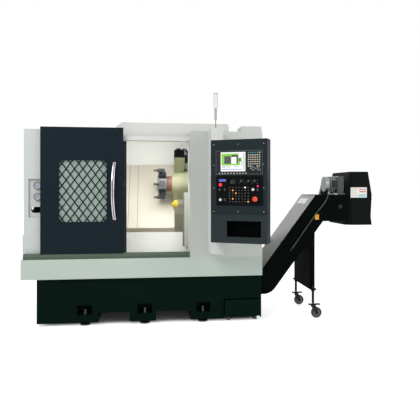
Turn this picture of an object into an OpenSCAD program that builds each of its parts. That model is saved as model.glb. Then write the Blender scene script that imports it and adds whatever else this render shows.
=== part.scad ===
// Slant-bed turning centre with tool turret, tailstock, swivelling control box,
// roll-out coolant tank and a rising chip conveyor. X runs along the spindle,
// Y runs from the operator to the back, Z is up from the floor.

/* [Enclosure] */
// Width over the front apron
enc_w = 2133; // [2100:1:2200]
// Distance from the apron face to the back of the rear guard
enc_d = 1348; // [1330:1:1400]
// Height of the cover tops above the floor
enc_h = 1740; // [1720:1:1790]
// Thickness of the cover sheets
sheet = 3; // [2:0.5:4]
// Height of the apron's lower edge
apron_z = 422; // [410:1:430]
// Height of the apron's upper edge
apron_top = 596; // [585:1:605]
// Depth of the apron
apron_d = 60; // [55:1:70]
// Left end of the left cover
left_x = 15; // [8:1:25]
// Wall between the headstock room and the work area
wall_x = 668; // [660:1:672]
// Left edge of the doorway
doorway_x0 = 775; // [760:1:790]
// Right edge of the doorway
doorway_x1 = 1469; // [1460:1:1480]
// Height of the header between the doorway and the cover tops
header_h = 90; // [80:1:100]
// Depth of the cabinet to the right of the doorway
front_cab_d = 250; // [220:1:270]
// Width of the right end cover beside the work area
right_w = 285; // [275:1:295]
// Rise of the hood above the cover tops
hood_rise = 135; // [120:1:160]

/* [Base] */
// Left end of the base
base_x0 = 124; // [110:1:140]
// Front face of the base
base_y0 = 40; // [35:1:50]
// Clearance between the base and the floor
base_z0 = 27; // [22:1:35]
// Width of a levelling pocket
foot_pocket_w = 132; // [120:1:145]
// Height of a levelling pocket
foot_pocket_h = 90; // [80:1:100]
// Radius of a levelling screw
jack_r = 12; // [10:0.5:14]
// Radius of a levelling pad
pad_r = 45; // [40:1:50]
// Height of the fork pockets above the base's underside
fork_h = 83; // [75:1:95]

/* [Door] */
// Width of the sliding door
door_w = 714; // [700:1:730]
// Left edge of the open door
door_x0 = 161; // [150:1:170]
// Rise of the door above the cover tops
door_rise = 17; // [10:1:30]
// Thickness of the door
door_t = 40; // [36:1:42]
// Top of the sill that the door runs on
sill_top = 643; // [635:1:650]
// Width of the window
win_w = 413; // [390:1:430]
// Height of the window
win_h = 546; // [520:1:560]
// Corner radius of the window
win_r = 45; // [30:1:60]
// Width of one diamond of the grille
lattice_w = 72; // [60:1:80]
// Height of one diamond of the grille
lattice_h = 98; // [85:1:110]
// Width of a grille strand
strand = 9; // [6:0.5:11]

/* [Spindle] */
// Distance of the spindle axis behind the apron face
spin_y = 380; // [376:1:384]
// Height of the spindle axis
spin_z = 1060; // [1056:1:1064]
// Radius of the spindle in its bearings
spindle_r = 60; // [55:1:65]
// Radius of the bore through the spindle
spindle_bore_r = 26; // [20:1:30]
// Radius of the chuck
chuck_r = 105; // [100:1:110]
// Length of the chuck body
chuck_l = 78; // [70:1:85]
// Width of a chuck jaw
jaw_w = 34; // [28:1:38]

/* [Slides] */
// Left end of the saddle
saddle_x0 = 1290; // [1286:1:1294]
// Length of the saddle
saddle_l = 270; // [262:1:274]
// Distance of the slanted bed face below the spindle axis
bed_drop = 300; // [298:1:304]
// Distance of the way covers below the spindle axis
cover_drop = 200; // [199:0.5:202]
// Distance between the two carriage rails
rail_pitch = 430; // [420:1:440]
// Width of a carriage rail
rail_w = 45; // [40:1:50]

/* [Turret] */
// Distance of the turret axis up the slope from the spindle axis
turret_rise = 290; // [286:1:294]
// Left face of the turret disc
disc_x0 = 1195; // [1192:1:1198]
// Thickness of the turret disc
disc_t = 78; // [74:1:80]
// Distance from the turret axis to a tool face
disc_r = 115; // [110:1:118]
// Radius of the turret neck
neck_r = 78; // [72:1:82]
// Distance from the turret axis to the tip of a turning tool
tool_reach = 176; // [168:1:180]

/* [Tailstock] */
// Radius of the tailstock quill
quill_r = 37; // [34:1:39]
// Tip of the live centre
centre_x = 1304; // [1302:1:1308]

/* [Control box] */
// Width of the control box
box_w = 480; // [470:1:490]
// Height of the control box
box_h = 848; // [835:1:860]
// Depth of the control box
box_d = 125; // [115:1:130]
// Lower edge of the control box
box_z = 768; // [755:1:780]
// Swing of the control box out of line with the front
box_swing = 27; // [20:1:30]
// Left side of the column that carries the control box
column_x = 1633; // [1625:1:1640]
// Width of the column
column_w = 107; // [100:1:112]
// Depth of the column
column_d = 226; // [215:1:235]

/* [Chip conveyor] */
// Front side of the conveyor
conv_y0 = 100; // [98:1:104]
// Width of the conveyor
conv_w = 440; // [430:1:446]
// Height of the conveyor duct
conv_h = 225; // [215:1:230]
// Underside of the level run
conv_z = 227; // [224:1:232]
// Slope of the rising run
conv_slope = 53.2; // [50:0.1:55]
// Upper knee between the level and the rising run
conv_knee_x = 2148; // [2146:1:2160]
// Top of the conveyor head
head_top = 1157; // [1140:1:1180]
// End of the conveyor head
head_x1 = 2977; // [2960:1:3000]
// Width of the discharge cover along the machine
chute_w = 253; // [240:1:265]
// Top of the discharge cover
chute_top = 1379; // [1360:1:1400]
// Lower edge of the discharge cover
chute_z = 868; // [850:1:880]
// Place of the conveyor's leg
leg_x = 2636; // [2620:1:2650]
// Radius of a caster wheel
caster_r = 50; // [45:1:52]

/* [Coolant tank] */
// Distance of the tank's left side from the apron's right end
tank_in = 343; // [338:1:348]
// Width of the coolant tank
tank_w = 330; // [320:1:332]
// Length of the coolant tank
tank_l = 980; // [940:1:1000]
// Underside of the coolant tank
tank_z = 46; // [46:1:52]
// Top of the coolant tank
tank_top = 198; // [190:1:199]
// Radius of a tank wheel
tank_wheel_r = 22; // [20:0.5:22]

/* [Electrical cabinet] */
// Left side of the electrical cabinet
ecab_x = 1300; // [1280:1:1320]
// Depth of the electrical cabinet
ecab_d = 290; // [270:1:310]
// Lower edge of the electrical cabinet
ecab_z = 450; // [440:1:470]

/* [Hidden] */
$fn = 48;

// Slope of the bed, and the number of tool stations on the turret
slant = 45;
stations = 8;
// Gap between sliding faces, and radial play of a shaft in its bore
gap = 0.3;
play = 0.05;
// Film between bolted castings
seat = 0.03;
// Small overlap that makes a cut go clean through a face
eps = 1;

doorway_top = enc_h - header_h;
hood_top = enc_h + hood_rise;
door_top = enc_h + door_rise;
work_x1 = enc_w - right_w;
tank_x = enc_w - tank_in;
base_top = apron_z;
base_y1 = enc_d - 38;
base_x1 = enc_w + 2;
foot_first = 414;
foot_pitch = (base_x1 - base_x0 - foot_first - 541) / 2;
foot_x = [for (k = [0:2]) base_x0 + foot_first + k * foot_pitch];
foot_inset = 50;
foot_y = [base_y0 + foot_inset, base_y1 - foot_inset];
ledge_z = 93;
fork_span = [[foot_x[0] + 115, foot_x[1] - 137], [foot_x[1] + 99, foot_x[2] - 116]];

door_y0 = 15;
door_y1 = door_y0 + door_t;
door_bottom = sill_top + gap;
win_x = door_x0 + 362;
win_z = (sill_top + door_top) / 2 - 6;
rail_y = 70;
top_rail_t = 30;
top_rail_z = doorway_top + 40;
slot_z0 = doorway_top - 6;
slot_z1 = top_rail_z + 14;

tail_seat_z = 795;
nose_y = 370;
bed_x0 = 280;
bed_x1 = 1840;
nose_slant_y = spin_y + bed_drop / cos(slant) - (spin_z - tail_seat_z);
bed_rise = 560;
bed_back_y = 1200;

spindle_nose_x = wall_x + 12;
head_x0 = 300;
head_x1_body = wall_x - 3;
chuck_x = spindle_nose_x + 10;
saddle_x1 = saddle_x0 + saddle_l;
rail_h = 32;
slab_b0 = -cover_drop - 62;
slab_b1 = -cover_drop - 12;
cover_lift = 3;
leaf_b = -cover_drop - 7;
saddle_step_x = saddle_x0 + 72;
cross_x0 = saddle_x0 + 80;
cross_l = 150;
cross_b1 = -110;
housing_r = 108;
neck_l = 73;
housing_x0 = disc_x0 + disc_t + gap + neck_l;
housing_l = 154;
turret_shaft_r = 40;

tail_head_x = centre_x + 82;
tail_head_l = 94;
tail_head_r = 52;

hinge_x = column_x + column_w / 2;
hinge_y = -column_d - 26;
hinge_r = 10;
box_left = -18;
box_back = -8;
box_front = box_back - box_d;
plate_t = 6;
plate_x0 = 36;
plate_x1 = 428;
plate_z0 = 309;
plate_z1 = 549;
unit_z1 = 757;
unit_z0 = 561;

conv_y1 = conv_y0 + conv_w;
conv_top = conv_z + conv_h;
conv_t = 4;
conv_x0 = wall_x + 8;
half_slope = tan(conv_slope / 2);
head_knee_x = conv_knee_x + (head_top - conv_top) / tan(conv_slope);
boot_r = 140;
shaft_x = head_x1 - 62;
shaft_z = head_top - conv_h / 2;
shaft_r = 20;
sprocket_r = 70;
leg_t = 52;
leg_z = 264;
stem_r = 8;
stem_y = [conv_y0 - 34, conv_y1 + 70];
bracket_t = 12;
fork_axle_r = 6;
caster_trail = 32;
wheel_lift = 0.3;

axle_r = 6;
tank_y0 = 20;
axle_y = [tank_y0 + 62, tank_y0 + tank_l - 70];
axle_z = tank_wheel_r + wheel_lift;

ecab_y0 = enc_d;
ecab_y1 = enc_d + ecab_d;
ecab_x1 = enc_w - 3;
ecab_door_t = 22;
pin_r = 6;
switch_x = ecab_x1 - 120;
switch_z = enc_h - 360;
switch_out = 30;

// The box's front right corner and the main switch bound the depth.
front_y = hinge_y - sin(box_swing) * (box_w + box_left) + cos(box_swing) * box_front;
mid_x = (head_x1 + chute_w) / 2;
mid_y = (front_y + ecab_y1 + ecab_door_t + switch_out) / 2;

// Point of the bed's slanted frame, given along and across the slope.
function on_slope(a, b) = [
  spin_y + a * cos(slant) - b * sin(slant),
  spin_z + a * sin(slant) + b * cos(slant)
];
// Points of an arc from angle a0 to angle a1.
function arc(c, r, a0, a1, n = 6) = [
  for (i = [0:n]) c + r * [cos(a0 + (a1 - a0) * i / n), sin(a0 + (a1 - a0) * i / n)]
];
// Rounded rectangle between two corners.
function round_box(p, q, r, n = 6) = concat(
  arc([q[0] - r, q[1] - r], r, 0, 90, n), arc([p[0] + r, q[1] - r], r, 90, 180, n),
  arc([p[0] + r, p[1] + r], r, 180, 270, n), arc([q[0] - r, p[1] + r], r, 270, 360, n)
);

// Solid between two opposite corners.
module block(p, q) translate(p) cube(q - p);
// Outline in Y and Z, drawn out along X.
module along_x(x0, x1, points)
  translate([x0, 0, 0]) rotate([90, 0, 90]) linear_extrude(x1 - x0) polygon(points);
// Outline in X and Z, drawn out along Y.
module along_y(y0, y1, points)
  translate([0, y1, 0]) rotate([90, 0, 0]) linear_extrude(y1 - y0) polygon(points);
// Outline in X and Y, drawn out along Z.
module along_z(z0, z1, points)
  translate([0, 0, z0]) linear_extrude(z1 - z0) polygon(points);
// Round bars along each axis.
module rod_x(x0, x1, y, z, r) translate([x0, y, z]) rotate([0, 90, 0]) cylinder(r = r, h = x1 - x0);
module rod_y(x, y0, y1, z, r) translate([x, y1, z]) rotate([90, 0, 0]) cylinder(r = r, h = y1 - y0);
module rod_z(x, y, z0, z1, r) translate([x, y, z0]) cylinder(r = r, h = z1 - z0);
// Frame with Y up the slope and Z square to it, through the spindle axis.
module on_slant() translate([0, spin_y, spin_z]) rotate([slant, 0, 0]) children();
// Frame with Z along the spindle.
module on_spindle() translate([0, spin_y, spin_z]) rotate([0, 90, 0]) children();
// Frame with Z along the turret axis and Y up the slope.
module on_turret() on_slant() translate([0, turret_rise, 0]) rotate([0, 90, 0]) children();
// Frame of the control box, with X across its face from the hinge.
module on_box() translate([hinge_x, hinge_y, box_z]) rotate([0, 0, -box_swing]) children();

// Cast base with fork pockets, levelling pockets, chip channel, tank recess and its guide strips.
tank_side = 6;
module machine_base() color([0.03, 0.1, 0.08]) {
  base_casting();
  for (x = [[tank_x - tank_side - eps, tank_x - gap], [tank_x + tank_w + gap, tank_x + tank_w + tank_side + eps]])
    block([x[0], base_y0 + 30, 100], [x[1], tank_y0 + tank_l, 125]);
}
module base_casting() difference() {
  along_z(base_z0, base_top, round_box([base_x0, base_y0], [base_x1, base_y1], 12, 3));
  for (s = fork_span)
    block([s[0], base_y0 - eps, base_z0 - eps], [s[1], base_y1 + eps, base_z0 + fork_h]);
  for (x = foot_x, side = [0, 1])
    translate([x - foot_pocket_w / 2, side ? base_y1 - 2 * foot_inset : base_y0 - eps, ledge_z])
      cube([foot_pocket_w, 2 * foot_inset + eps, foot_pocket_h]);
  for (x = foot_x, y = foot_y) rod_z(x, y, base_z0 - eps, ledge_z + eps, jack_r + gap);
  block([conv_x0, conv_y0 - 8, conv_z], [base_x1 + eps, conv_y1 + 8, base_top + eps]);
  block([tank_x - tank_side, base_y0 - eps, base_z0 - eps],
        [tank_x + tank_w + tank_side, tank_y0 + tank_l + 20, tank_top + 8]);
}

// Six levelling screws with swivel pads and lock nuts.
module levelling_feet() color([0.25, 0.25, 0.26])
  for (x = foot_x, y = foot_y) translate([x, y, 0]) {
    cylinder(r = pad_r, h = 10);
    translate([0, 0, 10]) cylinder(r1 = pad_r - 6, r2 = jack_r + 5, h = 9);
    cylinder(r = jack_r, h = ledge_z + 45);
    translate([0, 0, ledge_z]) cylinder(r = 1.8 * jack_r, h = 16, $fn = 6);
  }

// Bed casting with two carriage rails and the tailstock way on its nose.
module slant_bed() color([0.55, 0.58, 0.55]) {
  heel = on_slope(bed_rise, -bed_drop);
  along_x(bed_x0, bed_x1, [
    [560, base_top], [bed_back_y, base_top], [bed_back_y, heel[1] - 140],
    [heel[0] + 110, heel[1]], heel, [nose_slant_y, tail_seat_z], [nose_y, tail_seat_z],
    [nose_y, tail_seat_z - 50], [560, 640]
  ]);
  on_slant() for (a = [0, rail_pitch])
    block([wall_x + 22, a - rail_w / 2, -bed_drop - eps], [bed_x1, a + rail_w / 2, -bed_drop + rail_h]);
  block([tail_way_x, nose_y + 20, tail_seat_z - eps], [bed_x1, nose_y + 48, tail_seat_z + tail_way_h]);
}
tail_way_x = 1100;
tail_way_h = 8;

// Headstock casting, seated on the slanted bed face.
module headstock() color([0.5, 0.54, 0.52]) difference() {
  along_x(head_x0, head_x1_body, [
    [nose_y + 85, tail_seat_z + seat], [nose_slant_y, tail_seat_z + seat], on_slope(300, seat - bed_drop),
    on_slope(300, -160), [spin_y + 140, spin_z + 155], [spin_y - 80, spin_z + 155],
    [spin_y - 135, spin_z + 90], [spin_y - 135, spin_z - 100], [spin_y - 50, spin_z - 200]
  ]);
  rod_x(head_x0 - eps, head_x1_body + eps, spin_y, spin_z, spindle_r + play);
}

// Fixed leaves of the slanted way cover, left and right of the saddle.
cover_a0 = -126;
cover_a1 = (doorway_top - 174 - spin_z) / sin(slant) - leaf_b;
// Setback of the fixed leaves' lips behind the moving ones
leaf_back = 5;
leaf_left_x1 = saddle_x0 - 245;
leaf_right_x0 = saddle_x1 + 45;
lip_y = on_slope(cover_a0, leaf_b)[0];
module cover_leaf(x0, x1, a0, b) {
  on_slant() block([x0, a0, b], [x1, cover_a1, b + cover_lift]);
  edge = on_slope(a0, b);
  along_x(x0, x1, [
    [edge[0], tail_seat_z + gap], edge, on_slope(a0, b + eps), on_slope(a0 + 6, b + eps),
    [edge[0] + cover_lift, tail_seat_z + gap]
  ]);
}
module way_cover() color([0.79, 0.76, 0.66]) {
  cover_leaf(wall_x, leaf_left_x1, cover_a0 + leaf_back, leaf_b);
  cover_leaf(leaf_right_x0, work_x1 - sheet, cover_a0 + leaf_back, leaf_b);
}

// Lower skirt of the bed, back wall of the work area and front chip guard.
back_wall_y = on_slope(cover_a1, leaf_b)[0] + 2;
module bed_cover() color([0.9, 0.9, 0.88]) {
  inner_x0 = wall_x + sheet;
  inner_x1 = work_x1 - sheet;
  along_x(inner_x0, inner_x1, [
    [nose_y - sheet, conv_top + 4], [nose_y, conv_top + 4], [nose_y, tail_seat_z],
    [nose_y - sheet, tail_seat_z]
  ]);
  block([inner_x0, back_wall_y, on_slope(cover_a1, leaf_b)[1] - 40],
        [inner_x1, back_wall_y + sheet, doorway_top]);
  intersection() {
    block([inner_x0, back_wall_y, doorway_top - eps], [inner_x1, back_wall_y + sheet, hood_top]);
    hood_form(2 * sheet, eps);
  }
  along_x(inner_x0, doorway_x1, [
    [apron_d + 4, sill_top - 4], [apron_d + 4, apron_top], [conv_y0, conv_top],
    [conv_y0 + sheet, conv_top], [apron_d + 4 + sheet, apron_top], [apron_d + 4 + sheet, sill_top - 4]
  ]);
  rod_y(inner_x0 + 250, nose_y - 34, nose_y - sheet, 720, 14);
}
cover_y1 = enc_d - sheet;
hood_ridge_y = 1000;

// Folded apron across the whole front.
module front_apron() color([0.76, 0.81, 0.77]) difference() {
  block([0, 0, apron_z], [enc_w, apron_d, apron_top]);
  block([sheet, sheet, apron_z + sheet], [enc_w - sheet, apron_d + eps, apron_top - sheet]);
}

// Sill with the groove that guides the door's foot.
groove_y = door_y0 + 17;
groove_w = 6;
groove_d = 12;
module door_rail() color([0.26, 0.33, 0.28]) difference() {
  along_x(left_x + 5, doorway_x1, [
    [8, apron_top], [apron_d, apron_top], [apron_d, sill_top], [door_y0 + 8, sill_top], [8, sill_top - 22]
  ]);
  block([left_x + 5 - eps, groove_y - gap, sill_top - groove_d],
        [doorway_x1 + eps, groove_y + groove_w + gap, sill_top + eps]);
}

// Upper rail that the door hangs on, with its mounting flange.
top_rail_x0 = door_x0 + 14;
hood_y0 = 150;
module door_top_rail() color([0.62, 0.64, 0.63]) along_x(top_rail_x0, doorway_x1, [
  [rail_y, doorway_top], [hood_y0, doorway_top], [hood_y0, doorway_top + 5],
  [rail_y + top_rail_t, doorway_top + 5], [rail_y + top_rail_t, top_rail_z], [rail_y, top_rail_z]
]);

// Headstock cover with the gauge recess, spindle opening, bar port, rail slot and side skirt.
recess_p = [53, 962];
recess_q = [200, 1301];
recess_d = 25;
bar_port_r = 45;
skirt_out = 12;
skirt_h = 225;
module left_cover() color([0.84, 0.87, 0.85]) {
  difference() {
    union() {
      block([left_x, apron_d, apron_z], [wall_x + sheet, cover_y1, enc_h]);
      block([wall_x, apron_d, apron_z], [doorway_x0, apron_d + sheet, enc_h]);
      block([doorway_x0 - sheet, apron_d, sill_top], [doorway_x0, hood_y0, enc_h]);
      block([wall_x, apron_d, enc_h - sheet], [doorway_x0, hood_y0, enc_h]);
    }
    block([left_x + sheet, apron_d + sheet, apron_z + sheet],
          [base_x0 + eps, cover_y1 - sheet, enc_h - sheet]);
    block([base_x0, apron_d + sheet, apron_z - eps], [wall_x, cover_y1 - sheet, enc_h - sheet]);
    block([top_rail_x0 - 3, apron_d - eps, slot_z0], [doorway_x0 + eps, hood_y0 + 2, slot_z1]);
    block([recess_p[0], apron_d - eps, recess_p[1]], [recess_q[0], apron_d + 2 * sheet, recess_q[1]]);
    rod_x(wall_x - eps, wall_x + sheet + eps, spin_y, spin_z, 95);
    rod_x(left_x - eps, left_x + sheet + eps, spin_y, spin_z, bar_port_r);
    along_x(wall_x - eps, wall_x + sheet + eps, [
      [nose_y - 2 * sheet, apron_z - eps], [nose_y - 2 * sheet, tail_seat_z + 8],
      on_slope(cover_a0 - 14, leaf_b + cover_lift), on_slope(cover_a1, leaf_b + cover_lift),
      [bed_back_y + 20, on_slope(cover_a1, leaf_b + cover_lift)[1]], [bed_back_y + 20, apron_z - eps]
    ]);
  }
  block([top_rail_x0, apron_d + sheet, slot_z0 - 6], [wall_x, hood_y0, doorway_top]);
  along_y(apron_d, cover_y1, [
    [left_x + eps, apron_top], [left_x - skirt_out, apron_top], [left_x - skirt_out, apron_top + skirt_h - 2 * skirt_out],
    [left_x, apron_top + skirt_h], [left_x + eps, apron_top + skirt_h]
  ]);
  difference() {
    block([recess_p[0] - sheet, apron_d + sheet, recess_p[1] - sheet],
          [recess_q[0] + sheet, apron_d + recess_d + sheet, recess_q[1] + sheet]);
    block([recess_p[0], apron_d - eps, recess_p[1]], [recess_q[0], apron_d + recess_d, recess_q[1]]);
    along_y(apron_d + recess_d - eps, apron_d + recess_d + sheet + eps,
            round_box([71, 1001], [182, 1054], 26));
  }
}

// Cabinet right of the doorway and the right end cover, one folded shell.
right_top = enc_h - 5;
module right_cover() color([0.8, 0.85, 0.81]) {
  wall_r = work_x1 - sheet;
  difference() {
    union() {
      along_z(apron_top, right_top, [
        [doorway_x1, 0], [enc_w, 0], [enc_w, cover_y1], [wall_r, cover_y1],
        [wall_r, front_cab_d], [doorway_x1, front_cab_d]
      ]);
      block([wall_r, apron_d, apron_z], [enc_w, cover_y1, apron_top]);
    }
    along_z(apron_top - eps, right_top - sheet, [
      [doorway_x1 + sheet, sheet], [enc_w - sheet, sheet], [enc_w - sheet, cover_y1 - sheet],
      [work_x1, cover_y1 - sheet], [work_x1, front_cab_d - sheet], [doorway_x1 + sheet, front_cab_d - sheet]
    ]);
    block([work_x1, apron_d + sheet, apron_z - eps],
          [enc_w - sheet, cover_y1 - sheet, apron_top + eps]);
    for (x = [wall_r, enc_w - sheet])
      block([x - eps, conv_y0 - 8, apron_z - eps], [x + sheet + eps, conv_y1 + 8, conv_top + 6]);
  }
  block([enc_w - 189, 20, right_top], [enc_w - sheet, 240, right_top + 52]);
}

// Hood over the work area, with a sloped front and bevelled ends.
module hood_form(t, drop) intersection() {
  along_x(wall_x + sheet + t, work_x1 - sheet - t, [
    [hood_y0 + t, doorway_top - drop], [hood_y0 + t, hood_top - 51 - 0.6 * t], [hood_y0 + 150, hood_top - t],
    [hood_ridge_y, hood_top - t], [cover_y1 - t, enc_h + 5 - t], [cover_y1 - t, doorway_top - drop]
  ]);
  along_y(hood_y0, cover_y1, [
    [wall_x + sheet + t, doorway_top - drop], [wall_x + sheet + t, enc_h + 5 - t], [doorway_x0, enc_h + 17 - t],
    [doorway_x0 + 82, hood_top - 51 - t], [doorway_x0 + 186, hood_top - t],
    [work_x1 - 68, hood_top - t], [work_x1 - sheet - t, hood_top - 65 - t], [work_x1 - sheet - t, doorway_top - drop]
  ]);
}
module hood() color([0.87, 0.88, 0.87]) difference() {
  hood_form(0, 0);
  hood_form(sheet, eps);
  block([doorway_x1, hood_y0 - eps, doorway_top - eps], [work_x1, front_cab_d, right_top]);
}

// Rear sheet with two rows of louvre slots.
module rear_guard() color([0.78, 0.81, 0.79]) difference() {
  block([left_x, cover_y1, apron_z], [enc_w, enc_d, enc_h]);
  for (x = [220, 420], i = [0:7])
    along_y(cover_y1 - eps, enc_d + eps, round_box([x, 900 + 40 * i], [x + 150, 914 + 40 * i], 6.9, 3));
}

// Two dial gauges in the recess of the left cover.
gauge_x = 127;
gauge_z = [1242, 1143];
gauge_r = 33;
module pressure_gauges() color([0.8, 0.82, 0.8]) for (z = gauge_z) difference() {
  rod_y(gauge_x, apron_d + 4, apron_d + recess_d, z, gauge_r);
  rod_y(gauge_x, apron_d + 3, apron_d + 9, z, gauge_r - 5);
}

// Signal lamp on a thin stem above the column.
module signal_light() color([0.9, 0.92, 0.92]) {
  top = column_top;
  y = -column_d / 2;
  rod_z(hinge_x, y, top, top + 6, 24);
  rod_z(hinge_x, y, top + 5, top + 92, 5);
  rod_z(hinge_x, y, top + 90, top + 186, 10);
  rod_z(hinge_x, y, top + 185, top + 314, 19);
  rod_z(hinge_x, y, top + 313, top + 326, 20);
}
column_top = box_z + box_h + 120;
column_z = box_z - 118;

// Electrical cabinet on the back, open towards its door.
module electrical_cabinet() color([0.78, 0.81, 0.79]) {
  difference() {
    block([ecab_x, ecab_y0, ecab_z], [ecab_x1, ecab_y1, enc_h - 10]);
    block([ecab_x + sheet, ecab_y0 + sheet, ecab_z + sheet], [ecab_x1 - sheet, ecab_y1 + eps, enc_h - 10 - sheet]);
  }
  block([ecab_x + 60, ecab_y0 + sheet, ecab_z + 80], [ecab_x1 - 60, ecab_y0 + 25, enc_h - 90]);
  for (z = cabinet_hinge_z) {
    block([ecab_x - 14, ecab_y1 - 20, z], [ecab_x, ecab_y1 + 4, z + knuckle_h]);
    rod_z(ecab_x - 14, ecab_y1 + 12, z, z + knuckle_h, pin_r + 6);
    rod_z(ecab_x - 14, ecab_y1 + 12, z, z + 2 * knuckle_h, pin_r);
  }
}
knuckle_h = 40;
cabinet_hinge_z = [ecab_z + 150, enc_h - 250];

// Column in front of the right cover, with the two pivots of the control box.
module control_column() color([0.86, 0.88, 0.87]) {
  along_z(column_z, column_top, round_box([column_x, -column_d], [column_x + column_w, 0], 6, 3));
  for (z = [box_z - gap - pivot_t, box_z + box_h + gap]) {
    along_z(z, z + pivot_t, concat(
      [[hinge_x + pivot_w / 2, -column_d + eps], [hinge_x - pivot_w / 2, -column_d + eps]],
      arc([hinge_x, hinge_y], pivot_w / 2, 180, 360, 8)));
  }
  rod_z(hinge_x, hinge_y, box_z - gap - eps, box_z + pivot_pin, hinge_r);
  rod_z(hinge_x, hinge_y, box_z + box_h - pivot_pin, box_z + box_h + gap + eps, hinge_r);
}
pivot_t = 14;
pivot_w = 44;
pivot_pin = 30;

// Outline of the conveyor duct between two depths below its upper side; the rise is thinner and the head deeper.
rise_cut = 22;
head_drop = 26;
function duct(d0, d1, x0, x1, r) = concat(
  [[x0, conv_top - d0], [conv_knee_x + d0 * half_slope, conv_top - d0],
   [head_knee_x + d0 * half_slope, head_top - d0], [x1, head_top - d0],
   [x1, head_top - d1 - head_drop],
   [head_knee_x + d1 * half_slope - rise_cut - head_drop / tan(conv_slope), head_top - d1 - head_drop]],
  arc([conv_knee_x + d1 * half_slope - rise_cut - r * half_slope, conv_top - d1 + r], r, conv_slope - 90, -90, 8),
  [[x0, conv_top - d1]]
);
module conveyor_trough() color([0.05, 0.05, 0.055]) {
  difference() {
    union() {
      along_y(conv_y0, conv_y1, duct(0, conv_h, conv_x0, head_x1 + 20, boot_r));
      for (y = [conv_y0 - 6, conv_y1]) rod_y(shaft_x, y, y + 6, shaft_z, shaft_r + 26);
    }
    along_y(conv_y0 + conv_t, conv_y1 - conv_t, duct(conv_t, conv_h - conv_t, conv_x0 + conv_t,
                                                      head_x1 + 20 + eps, boot_r - conv_t));
    block([conv_x0 + conv_t, conv_y0 + conv_t, conv_top - conv_t - eps],
          [work_x1 - 20, conv_y1 - conv_t, conv_top + eps]);
    rod_y(shaft_x, conv_y0 - 6 - eps, conv_y1 + 6 + eps, shaft_z, shaft_r + play);
  }
  difference() {
    along_y(leg_y0, leg_y1, [
      [leg_x - leg_t / 2, leg_z], [leg_x + leg_t / 2, leg_z],
      [leg_x + leg_t / 2, duct_floor(leg_x + leg_t / 2) + conv_t / 2],
      [leg_x - leg_t / 2, duct_floor(leg_x - leg_t / 2) + conv_t / 2]
    ]);
    along_y(leg_y0 + conv_t, leg_y1 - conv_t, [
      [leg_x - leg_t / 2 + conv_t, leg_z + 40], [leg_x + leg_t / 2 + eps, leg_z + 40],
      [leg_x + leg_t / 2 + eps, duct_floor(leg_x) - 60], [leg_x - leg_t / 2 + conv_t, duct_floor(leg_x) - 90]
    ]);
  }
  difference() {
    for (span = [[stem_y[0] - 24, leg_y0 + eps], [leg_y1 - eps, stem_y[1] + 24]])
      block([leg_x - leg_t / 2, span[0], leg_z], [leg_x + leg_t / 2, span[1], leg_z + bracket_t]);
    for (y = stem_y) rod_z(leg_x, y, leg_z - eps, leg_z + bracket_t + eps, stem_r + play);
  }
}
leg_y0 = conv_y0 - 8;
leg_y1 = conv_y1 + 44;
// Height of the duct's underside above a place on the rising run.
function duct_floor(x) = conv_z + (x - conv_knee_x - conv_h * half_slope + rise_cut) * tan(conv_slope);

// Hinged steel belt inside the duct: carrying run, return run and cleats.
belt_side = 14;
belt_t = 10;
// Place of the belt's tail turn under the headstock end
tail_x = conv_x0 + 90;
module conveyor_belt() color([0.3, 0.31, 0.32]) {
  y0 = conv_y0 + conv_t + belt_side;
  y1 = conv_y1 - conv_t - belt_side;
  up = conv_h / 2 - sprocket_r - belt_t;
  low = conv_h / 2 + sprocket_r;
  difference() {
    along_y(y0, y1, concat(
      [[tail_x, conv_top - up], [conv_knee_x + up * half_slope, conv_top - up],
       [head_knee_x + up * half_slope, head_top - up]],
      arc([shaft_x, shaft_z], sprocket_r + belt_t, 90, -90, 24),
      [[head_knee_x + (low + belt_t) * half_slope, head_top - low - belt_t],
       [conv_knee_x + (low + belt_t) * half_slope, conv_top - low - belt_t]],
      arc([tail_x, conv_z + conv_h / 2], sprocket_r + belt_t, 270, 90, 24)));
    along_y(y0 - eps, y1 + eps, concat(
      [[tail_x, conv_top - up - belt_t], [conv_knee_x + (up + belt_t) * half_slope, conv_top - up - belt_t],
       [head_knee_x + (up + belt_t) * half_slope, head_top - up - belt_t]],
      arc([shaft_x, shaft_z], sprocket_r, 90, -90, 24),
      [[head_knee_x + low * half_slope, head_top - low], [conv_knee_x + low * half_slope, conv_top - low]],
      arc([tail_x, conv_z + conv_h / 2], sprocket_r, 270, 90, 24)));
  }
  for (x = [conv_x0 + 150:160:work_x1 - 60])
    block([x, y0, conv_top - up - eps], [x + 5, y1, conv_top - up + 18]);
}

// Drive shaft of the belt with two sprockets.
module conveyor_drive_shaft() color([0.5, 0.5, 0.52]) {
  rod_y(shaft_x, conv_y0 - 12, conv_y1 + 30, shaft_z, shaft_r);
  for (y = [conv_y0 + 60, conv_y1 - 84]) rod_y(shaft_x, y, y + 24, shaft_z, sprocket_r - 1.5 * gap);
}

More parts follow.
